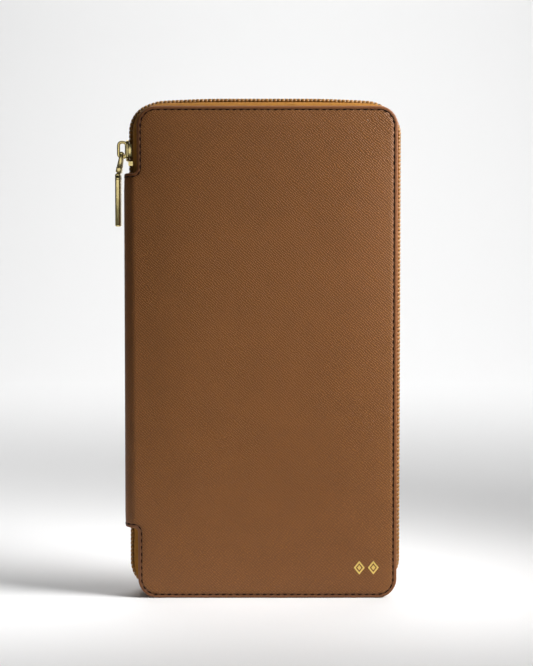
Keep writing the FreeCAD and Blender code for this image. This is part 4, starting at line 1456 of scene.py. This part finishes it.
@dataclass
class BarPull:
    """The pull of the main zip: a forked link on the bridge, a pin, and a flat bar hanging from it.

    Attributes:
        arm: an arm's thickness; arm_half is half its breadth at the top, arm_gap the way between the two.
        flare: how much broader an arm is at its foot.
        collar: the collar's upper and lower edge, below the eye.
        lean: how far the link hangs off the upright.
        tongue_overlap: how far the tongue reaches into the collar; ear_overlap is an ear's into the bar.
        soft: how far an edge's softening reaches, as arm_soft and the others do for their own edges.
        fork: half the width of the bar's fork, and its depth.
    """

    eye_radius: float = 0.65 * MM
    arm: float = 1.2 * MM
    arm_half: float = 1.0 * MM
    arm_gap: float = 1.6 * MM
    flare: float = 1.5
    link_length: float = 10.55 * MM
    collar: tuple = (6.3 * MM, 9.0 * MM)
    collar_half: float = 1.35 * MM
    tongue_half: float = 1.0 * MM
    lean: float = math.radians(9.8)
    bar_half: float = 1.25 * MM
    bar_chamfer: float = 0.42 * MM
    fork: tuple = (1.15 * MM, 1.5 * MM)
    tongue_overlap: float = 0.2 * MM
    ear_overlap: float = 0.3 * MM
    soft: float = 0.2 * MM
    arm_soft: float = 0.22 * MM
    collar_soft: float = 0.35 * MM
    tip_soft: float = 0.12 * MM
    rim_soft: float = 0.15 * MM
    bar_soft: float = 0.09 * MM
    ear_soft: float = 0.3 * MM

    def __post_init__(self) -> None:
        """Read the pin's place from the frame and work back to the link's eye."""
        pin_low, pin_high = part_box("pull_pin")
        bar_low, bar_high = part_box("pull_bar")
        self.pin = (pin_low + pin_high) / 2
        self.pin_radius = (pin_high.z - pin_low.z) / 2
        self.half_width = (bar_high.y - bar_low.y) / 2
        self.bar_length = self.pin.z - bar_low.z
        self.eye_place = self.pin + self.link_length * Vector((math.sin(self.lean), 0, math.cos(self.lean)))

    def knuckle(
        self, bm: Mesh, near: float, far: float, z: float, radius: float, edge: float, sides: int = 24
    ) -> None:
        """Add a rod across the pull with its rims softened.

        Args:
            bm: the mesh.
            near: the y of one end.
            far: the y of the other.
            z: the height of its axis.
            radius: its radius.
            edge: how far the softening reaches.
            sides: faces round it.
        """
        verts = rod(bm, Vector((0, near, z)), Vector((0, far, z)), radius, sides)
        soften(bm, sharp(edges_of(verts)), edge, 2)

    def link(self) -> None:
        """Make the link: a cross bar, two arms that widen downwards, a collar and a tongue."""
        bm = bmesh.new()
        outer = self.arm_gap + self.arm
        upper, lower = self.collar
        rod(bm, Vector((0, -outer, 0)), Vector((0, outer, 0)), self.eye_radius, 20)
        for way in (-1, 1):
            near, far = sorted((way * self.arm_gap, way * outer))
            self.knuckle(bm, near, far, 0, self.arm_half, self.soft)
            arm = block(bm, (-0.8 * self.arm_half, near, -upper), (0.8 * self.arm_half, far, 0))
            bmesh.ops.scale(bm, vec=(self.flare, 1, 1), verts=[v for v in arm if v.co.z < -upper / 2])
            soften(bm, edges_of(arm), self.arm_soft, 2)
        collar = block(bm, (-self.collar_half, -outer, -lower), (self.collar_half, outer, -upper))
        soften(bm, edges_of(collar), self.collar_soft, 3)
        thick, half = 0.9 * self.tongue_half, self.tongue_half
        tongue = block(bm, (-thick, -half, -self.link_length), (thick, half, -lower + self.tongue_overlap))
        soften(bm, edges_of(tongue), self.soft, 2)
        self.knuckle(bm, -half, half, -self.link_length, half, self.tip_soft)
        place = Matrix.Translation(self.eye_place) @ Matrix.Rotation(self.lean, 4, "Y")
        bmesh.ops.transform(bm, matrix=place, verts=bm.verts)
        seat(piece(bm, "link_of_pull", (PALE_GOLD,), METAL_CREASE), "pull_link", ["pull_link"])

    def pivot(self) -> None:
        """Make the pin with a slightly domed head at each end."""
        bm = bmesh.new()
        self.knuckle(bm, -self.half_width, self.half_width, 0, self.pin_radius, self.rim_soft, 20)
        bmesh.ops.translate(bm, vec=self.pin, verts=bm.verts)
        seat(piece(bm, "pin_of_pull", (PALE_GOLD,)), "pull_link", ["pull_pin"])

    def bar(self) -> None:
        """Make the bar: chamfered along its edges, forked and rounded at its top."""
        bm = bmesh.new()
        half, thick, (gap, depth) = self.half_width, self.bar_half, self.fork
        edges = edges_of(block(bm, (-thick, -half, -self.bar_length), (thick, half, -depth)))
        long = [e for e in edges if span(e, 2) > self.bar_length / 2]
        foot = [e for e in edges if max(v.co.z for v in e.verts) < -self.bar_length / 2]
        soften(bm, long + foot, self.bar_chamfer, 1)
        soften(bm, sharp(bm.edges, math.radians(20), math.radians(70)), self.bar_soft, 2)
        for way in (-1, 1):
            near, far = sorted((way * gap, way * half))
            ear = block(bm, (-thick, near, -depth - self.ear_overlap), (thick, far, 0))
            soften(bm, [e for e in edges_of(ear) if span(e, 2) > depth / 2], self.ear_soft, 2)
            self.knuckle(bm, near, far, 0, thick, self.rim_soft)
        bmesh.ops.translate(bm, vec=self.pin, verts=bm.verts)
        seat(piece(bm, "bar_of_pull", (PALE_GOLD,), METAL_CREASE), "pull_bar", ["pull_bar"])

    def build(self) -> None:
        """Make the link, its pin and the bar."""
        self.link()
        self.pivot()
        self.bar()


# ---------------------------------------------------------------- inside the covers


@dataclass
class LeatherPanel:
    """A flat leather panel inside a cover, with a softened edge, a crease and its own stitching.

    Attributes:
        node: the frame's node that it stands for, which gives its place and size.
        side: the cover that it is sewn into.
        finish: its leather.
        corner: its corner radius.
        all_round: whether it is sewn all round, and not only at the sides and bottom.
        thumb: radius of the round cut in its top edge, or 0.
        deepen: how much further it reaches towards the cover than its node.
        crease: the line pressed round it, as three rings' widths and depths.
    """

    node: str
    side: Side
    finish: Finish = POCKET_LEATHER
    corner: float = 3.0 * MM
    all_round: bool = False
    thumb: float = 0.0
    deepen: float = 0.0
    edge: float = 0.22 * MM
    crease: tuple = ((1.0 * MM, 0.0), (0.16 * MM, -0.1 * MM), (0.16 * MM, 0.1 * MM))
    seam_inset: float = 1.7 * MM
    seam_corner: float = 0.6 * MM
    stitch_level: float = 0.03 * MM
    stitch: Stitch = field(default_factory=lambda: Stitch(2.8 * MM, 1.8 * MM, 0.38 * MM, 0.3 * MM))

    def seam(self, low: Vector, high: Vector) -> Route:
        """The stitch line, between the node's lowest and highest corners."""
        left, right = low.x + self.seam_inset, high.x - self.seam_inset
        bottom, top = low.z + self.seam_inset, high.z - self.seam_inset
        radius = max(self.corner - self.seam_inset, self.seam_corner)
        feet = ((left, bottom, radius), (right, bottom, radius))
        if self.all_round:
            return Route((*feet, (right, top, radius), (left, top, radius)), True)
        return Route(((left, top, 0), *feet, (right, top, 0)))

    def build(self) -> None:
        """Make the panel and its stitching."""
        low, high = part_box(self.node)
        inner = high.y if self.side is Side.FRONT else low.y
        thickness = high.y - low.y + self.deepen
        bm = bmesh.new()
        rounded_face(bm, low.x, high.x, low.z, high.z, self.corner, 6)
        if self.thumb:
            self.cut_thumb(bm, (low.x + high.x) / 2, high.z)
        bmesh.ops.solidify(bm, geom=bm.faces[:], thickness=thickness)
        bm.normal_update()
        show = max(bm.faces, key=lambda f: f.normal.z * f.calc_area())
        rim = list(show.edges)
        for width, depth in self.crease:
            inset(bm, show, width, depth)
        soften(bm, rim, min(self.edge, thickness * 0.4), 2)
        stand_up(bm, -self.side.value, inner)
        made = piece(bm, f"{self.node}_panel", (self.finish,), math.radians(20))
        seat(made, self.side.cover, [self.node])
        thread = bmesh.new()
        self.stitch.sew(thread, self.seam(low, high), self.stitch_level)
        stand_up(thread, -self.side.value, inner)
        seat(piece(thread, f"{self.node}_stitching", (COVER_THREAD,)), self.side.cover)

    def cut_thumb(self, bm: Mesh, middle: float, top: float) -> None:
        """Cut a half round out of the top edge with three straight cuts, then round it off.

        Args:
            bm: the flat face.
            middle: the x of the cut's middle.
            top: the y of the face's top edge.
        """
        half = self.thumb
        for x in (middle - half, middle + half):
            slice_mesh(bm, (x, 0, 0), (1, 0, 0))
        slice_mesh(bm, (0, top - half, 0), (0, 1, 0))
        centres = {f: f.calc_center_median() for f in bm.faces}
        gone = [f for f, c in centres.items() if abs(c.x - middle) < half and c.y > top - half]
        bmesh.ops.delete(bm, geom=gone, context="FACES")
        bmesh.ops.dissolve_faces(bm, faces=bm.faces[:], use_verts=False)
        places = {v: v.co for v in bm.verts}
        low = [v for v, p in places.items() if abs(p.y - top + half) < TINY]
        feet = [v for v in low if abs(abs(v.co.x - middle) - half) < TINY]
        round_corners(bm, feet, half * 0.98, 10)


@dataclass
class ClothPouch:
    """The cotton bag behind the rear panels: a back sheet with soft side walls, open towards the zip."""

    corner: float = 3.0 * MM
    wall: float = 0.4 * MM
    belly: float = 0.5 * MM

    def build(self) -> None:
        """Make the bag from one face by drawing its edge forwards twice."""
        low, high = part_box("pouch_cloth")
        bm = bmesh.new()
        rim = list(rounded_face(bm, low.x, high.x, low.z, high.z, self.corner, 6).edges)
        depth = high.y - low.y
        middle = Vector(((low.x + high.x) / 2, (low.z + high.z) / 2, 0))
        for grow in (1, -1):
            verts, rim = draw_out(bm, rim, (0, 0, depth / 2))
            for vert in verts:
                away = (vert.co - middle) * Vector((1, 1, 0))
                vert.co -= grow * self.belly * away.normalized()
        bmesh.ops.recalc_face_normals(bm, faces=bm.faces)
        bmesh.ops.solidify(bm, geom=bm.faces[:], thickness=self.wall)
        stand_up(bm, -1, high.y)
        bmesh.ops.recalc_face_normals(bm, faces=bm.faces)
        pouch = piece(bm, "cotton_pouch", (POUCH_COTTON,))
        seat(pouch, "rear_cover", ["pouch_cloth"])


@dataclass
class InnerZip:
    """The coils of the zip across the rear panels. Its tapes and stops are the frame's own."""

    pitch: float = 1.5 * MM
    turn: tuple = (1.15 * MM, 1.95 * MM, 1.35 * MM)
    slant: float = math.radians(17)
    drop: float = 0.18 * MM

    def build(self) -> None:
        """Make both coils as rows of turns, those of one between those of the other."""
        for word, way, shift in (("upper", 1, 0.25), ("lower", -1, 0.75)):
            low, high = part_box(f"inner_coil_{word}")
            bm = bmesh.new()
            route = Route(((low.x, 0, 0), (high.x, 0, 0)))
            middle = (low.z + high.z) / 2 - way * self.drop
            long, across, proud = self.turn
            filament = Grain((long, proud, across), 8, 6)
            lean = Matrix.Rotation(way * self.slant, 4, "Y")
            for point, _ in route.stations(self.pitch, shift):
                filament.lay(bm, Matrix.Translation((point.x, (low.y + high.y) / 2, middle)) @ lean)
            filament.clear()
            made = piece(bm, f"inner_coil_{word}_turns", (ZIP_COIL,))
            seat(made, "rear_cover", [f"inner_coil_{word}"])


@dataclass
class TabPull:
    """The small flat pull of the inner zip, with the window that its bridge passes through."""

    window: tuple = (2.6 * MM, 2.4 * MM)
    window_corner: float = 0.5 * MM
    eye_half: float = 0.45 * MM
    corner_share: float = 0.42
    edge: float = 0.18 * MM

    def build(self) -> None:
        """Make the tab lying along the zip."""
        low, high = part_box("inner_pull")
        bm = bmesh.new()
        rounded_face(bm, low.x, high.x, low.z, high.z, (high.z - low.z) * self.corner_share, 8)
        long, half = self.window[0], self.window[1] / 2
        right, middle = high.x - 2 * self.eye_half, (low.z + high.z) / 2
        window = rounded_face(bm, right - long, right, middle - half, middle + half, self.window_corner, 4)
        plate = next(f for f in bm.faces if f is not window)
        rims = list(plate.edges) + list(window.edges)
        bmesh.ops.delete(bm, geom=[window, plate], context="FACES_ONLY")
        bmesh.ops.bridge_loops(bm, edges=rims)
        bmesh.ops.recalc_face_normals(bm, faces=bm.faces)
        bmesh.ops.solidify(bm, geom=bm.faces[:], thickness=high.y - low.y)
        level = sum(v.co.z for v in bm.verts) / len(bm.verts)
        bm.normal_update()
        soften(bm, sharp(bm.edges, 1.2), self.edge, 2)
        stand_up(bm, -1, (low.y + high.y) / 2 + level)
        bmesh.ops.recalc_face_normals(bm, faces=bm.faces)
        made = piece(bm, "tab_of_inner_pull", (PALE_GOLD,), METAL_CREASE)
        seat(made, "inner_pull", ["inner_pull"])


@dataclass
class FoilOrnament:
    """A plain foil ornament low on the front cover: two lozenges, each with a lozenge inside it."""

    shell: LeatherShell
    middle: tuple = (50.8 * MM, 14.5 * MM)
    apart: float = 6.6 * MM
    tall: float = 6.6 * MM
    wide: float = 5.2 * MM
    line: float = 0.75 * MM
    core: float = 0.38
    foil: float = 0.06 * MM

    def build(self) -> None:
        """Stamp the lozenges on the leather."""
        bm = bmesh.new()
        for way in (-0.5, 0.5):
            for scale, hollow in ((1.0, True), (self.core, False)):
                face = rounded_face(bm, -0.5, 0.5, -0.5, 0.5, 0.06, 2)
                verts = list(face.verts)
                side = scale / math.sqrt(2)
                bmesh.ops.rotate(bm, cent=(0, 0, 0), matrix=Matrix.Rotation(math.pi / 4, 3, "Z"), verts=verts)
                bmesh.ops.scale(bm, vec=(self.wide * side, self.tall * side, 1), verts=verts)
                place = (self.middle[0] + way * self.apart, self.middle[1], 0)
                bmesh.ops.translate(bm, vec=place, verts=verts)
                if hollow:
                    hollow_out(bm, face, self.line)
        bmesh.ops.solidify(bm, geom=bm.faces[:], thickness=self.foil)
        move_points(bm, lambda p: self.shell.on_cover(p.x, p.y, self.foil + p.z))
        bmesh.ops.recalc_face_normals(bm, faces=bm.faces)
        seat(piece(bm, "foil_ornament", (GOLD_FOIL,)), "front_cover")


# ---------------------------------------------------------------- the whole wallet


@dataclass
class Wallet:
    """Builds every sub-assembly round the frame.

    Attributes:
        card_slots: how many card slots the front cover has.
        main_reach: from the main bridge's outside to the tape's middle; small_reach is the inner slider's.
    """

    card_slots: int = 8
    main_reach: float = 7.7 * MM
    small_reach: float = 5.05 * MM

    def panels(self) -> list[LeatherPanel]:
        """The leather panels inside both covers."""
        front, rear = Side.FRONT, Side.REAR
        lining = {"finish": LINING_LEATHER, "corner": 7.4 * MM, "all_round": True, "deepen": 0.5 * MM}
        return [
            LeatherPanel("front_cover_lining", front, **lining),
            LeatherPanel("rear_cover_lining", rear, **lining),
            LeatherPanel("slip_pocket", front),
            LeatherPanel("panel_above_zip", rear, all_round=True),
            LeatherPanel("panel_below_zip", rear, all_round=True),
            LeatherPanel("passport_pocket", rear, thumb=11 * MM),
            *(LeatherPanel(f"card_slot_{k + 1}", front, corner=2 * MM) for k in range(self.card_slots)),
        ]

    def sliders(self) -> list[Slider]:
        """The two sliders."""
        main_low, main_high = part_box("zip_slider")
        small_low, small_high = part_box("inner_slider")
        main_middle = (main_low.x + self.main_reach, 0, (main_low.z + main_high.z) / 2)
        main_place = Matrix.Translation(main_middle) @ Matrix.Rotation(math.pi, 4, "Z")
        small_turn = Matrix(((0, 0, 1, 0), (-1, 0, 0, 0), (0, -1, 0, 0), (0, 0, 0, 1)))
        small_middle = (small_low + small_high) / 2
        small_middle.y = small_low.y + self.small_reach
        small_place = Matrix.Translation(small_middle) @ small_turn
        main = Slider(
            name="slider_of_main_zip",
            body="zip_slider",
            place=main_place,
            length=10 * MM,
            width=8.6 * MM,
            wing=1.2 * MM,
            clearance=0.2 * MM,
            coil_height=1.8 * MM,
            coil_side=2.9 * MM,
            tape=0.5 * MM,
            post=(0.25 * MM, 5 * MM),
            bridge=(-3.7 * MM, 4.8 * MM),
            bridge_reach=4.5 * MM,
            strand=1.4 * MM,
            bridge_width=2.5 * MM,
            bridge_corner=2.2 * MM,
            edge=0.35 * MM,
        )
        small = Slider(
            name="slider_of_inner_zip",
            body="inner_slider",
            place=small_place,
            length=8 * MM,
            width=6.4 * MM,
            wing=0.9 * MM,
            clearance=0.15 * MM,
            coil_height=1.3 * MM,
            coil_side=2.0 * MM,
            tape=0.4 * MM,
            post=(0.2 * MM, 4 * MM),
            bridge=(-2.7 * MM, 2.7 * MM),
            bridge_reach=2.7 * MM,
            strand=1.0 * MM,
            bridge_width=1.8 * MM,
            bridge_corner=1.4 * MM,
            edge=0.25 * MM,
        )
        return [main, small]

    def dress_frame(self) -> None:
        """Give the frame's own nodes their finishes."""
        for name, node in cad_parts.items():
            for word, finish in (("inner_tape", ZIP_TAPE), ("stop", PALE_GOLD)):
                if word in name:
                    node.data.materials.clear()
                    node.data.materials.append(finish.make())

    def build(self) -> None:
        """Build everything in order."""
        shell = LeatherShell()
        shell.build()
        MainZip().build()
        for slider in self.sliders():
            slider.build()
        BarPull().build()
        for panel in self.panels():
            panel.build()
        ClothPouch().build()
        InnerZip().build()
        TabPull().build()
        FoilOrnament(shell).build()
        self.dress_frame()


# ---------------------------------------------------------------- studio


@dataclass
class Studio:
    """A pale sweep of paper, soft lights and the camera. Zoom is the lens's length over the film's height."""

    sweep_half: float = 2.2
    sweep_front: float = -0.24
    sweep_back: float = 1.3
    sweep_radius: float = 0.6
    sweep_top: float = 2.6
    room_colour: str = "#f4f6f8"
    room_strength: float = 0.045
    distance: float = 0.70
    eye_height: float = 0.155
    aim: tuple = (0.0040, -0.0125, 0.1246)
    film: float = 36.0
    zoom: float = 1503 / 666

    def sweep(self) -> None:
        """Lay the paper: flat, then curved up, then straight up."""
        bm = bmesh.new()
        corners = [bm.verts.new((x, self.sweep_front, 0)) for x in (-self.sweep_half, self.sweep_half)]
        _, edge = draw_out(bm, [bm.edges.new(corners)], (0, self.sweep_back - self.sweep_front, 0))
        centre = (0, self.sweep_back, self.sweep_radius)
        bend = bmesh.ops.spin(bm, geom=edge, cent=centre, axis=(1, 0, 0), angle=math.pi / 2, steps=24)
        draw_out(bm, only(bend["geom_last"], bmesh.types.BMEdge), (0, 0, self.sweep_top))
        bmesh.ops.recalc_face_normals(bm, faces=bm.faces)
        piece(bm, "paper_sweep", (STUDIO_PAPER,))

    def light(
        self,
        name: str,
        place: Sequence[float],
        size: float,
        power: float,
        aim: Optional[Sequence[float]] = None,
        spread: float = math.pi,
    ) -> None:
        """Add a soft light.

        Args:
            name: its name.
            place: where it stands.
            size: the side of its square face.
            power: in watts.
            aim: what it faces, or None for the wallet.
            spread: how wide the grid on its face lets the light out.
        """
        lamp = bpy.data.lights.new(name, "AREA")
        lamp.size = size
        lamp.energy = power
        lamp.spread = spread
        stand = bpy.data.objects.new(name, lamp)
        stand.location = place
        towards = Vector(self.aim if aim is None else aim) - Vector(place)
        stand.rotation_euler = towards.to_track_quat("-Z", "Y").to_euler()
        bpy.context.scene.collection.objects.link(stand)

    def camera(self) -> None:
        """Stand the camera in front of the wallet, a little above its middle."""
        lens = bpy.data.cameras.new("camera")
        lens.sensor_fit = "VERTICAL"
        lens.sensor_height = self.film
        lens.lens = self.film * self.zoom
        lens.clip_start = 0.01
        stand = bpy.data.objects.new("camera", lens)
        aim = Vector(self.aim)
        place = Vector((aim.x, aim.y - self.distance, self.eye_height))
        stand.location = place
        stand.rotation_euler = (aim - place).to_track_quat("-Z", "Y").to_euler()
        bpy.context.scene.collection.objects.link(stand)
        bpy.context.scene.camera = stand

    def world(self) -> None:
        """Fill the room with even white light."""
        room = bpy.data.worlds.new("room")
        room.use_nodes = True
        tree = room.node_tree
        tree.nodes.clear()
        light = {"Color": linear(self.room_colour), "Strength": self.room_strength}
        air = add_node(tree, "ShaderNodeBackground", light)
        add_node(tree, "ShaderNodeOutputWorld", links={"Surface": air.outputs["Background"]})
        bpy.context.scene.world = room

    def build(self) -> None:
        """Set up the studio."""
        self.sweep()
        self.world()
        upper_right = (0.055, -0.0125, 0.155)
        self.light("key_from_right", (0.37, -0.11, 0.38), 0.26, 0.8, upper_right, math.radians(56))
        self.light("top_softbox", (0.1, 1.0, 1.65), 1.5, 34.0, (0, 1.9, 0.6))
        self.light("card_by_the_camera", (-0.13, -0.76, 0.25), 0.28, 0.27)
        self.camera()
        bpy.context.scene.view_settings.view_transform = "Standard"


def main() -> None:
    """Build the wallet and its studio."""
    logging.basicConfig(level=logging.INFO, format="%(name)s: %(message)s")
    Studio().build()
    Wallet().build()
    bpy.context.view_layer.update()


if __name__ == "__main__":
    main()
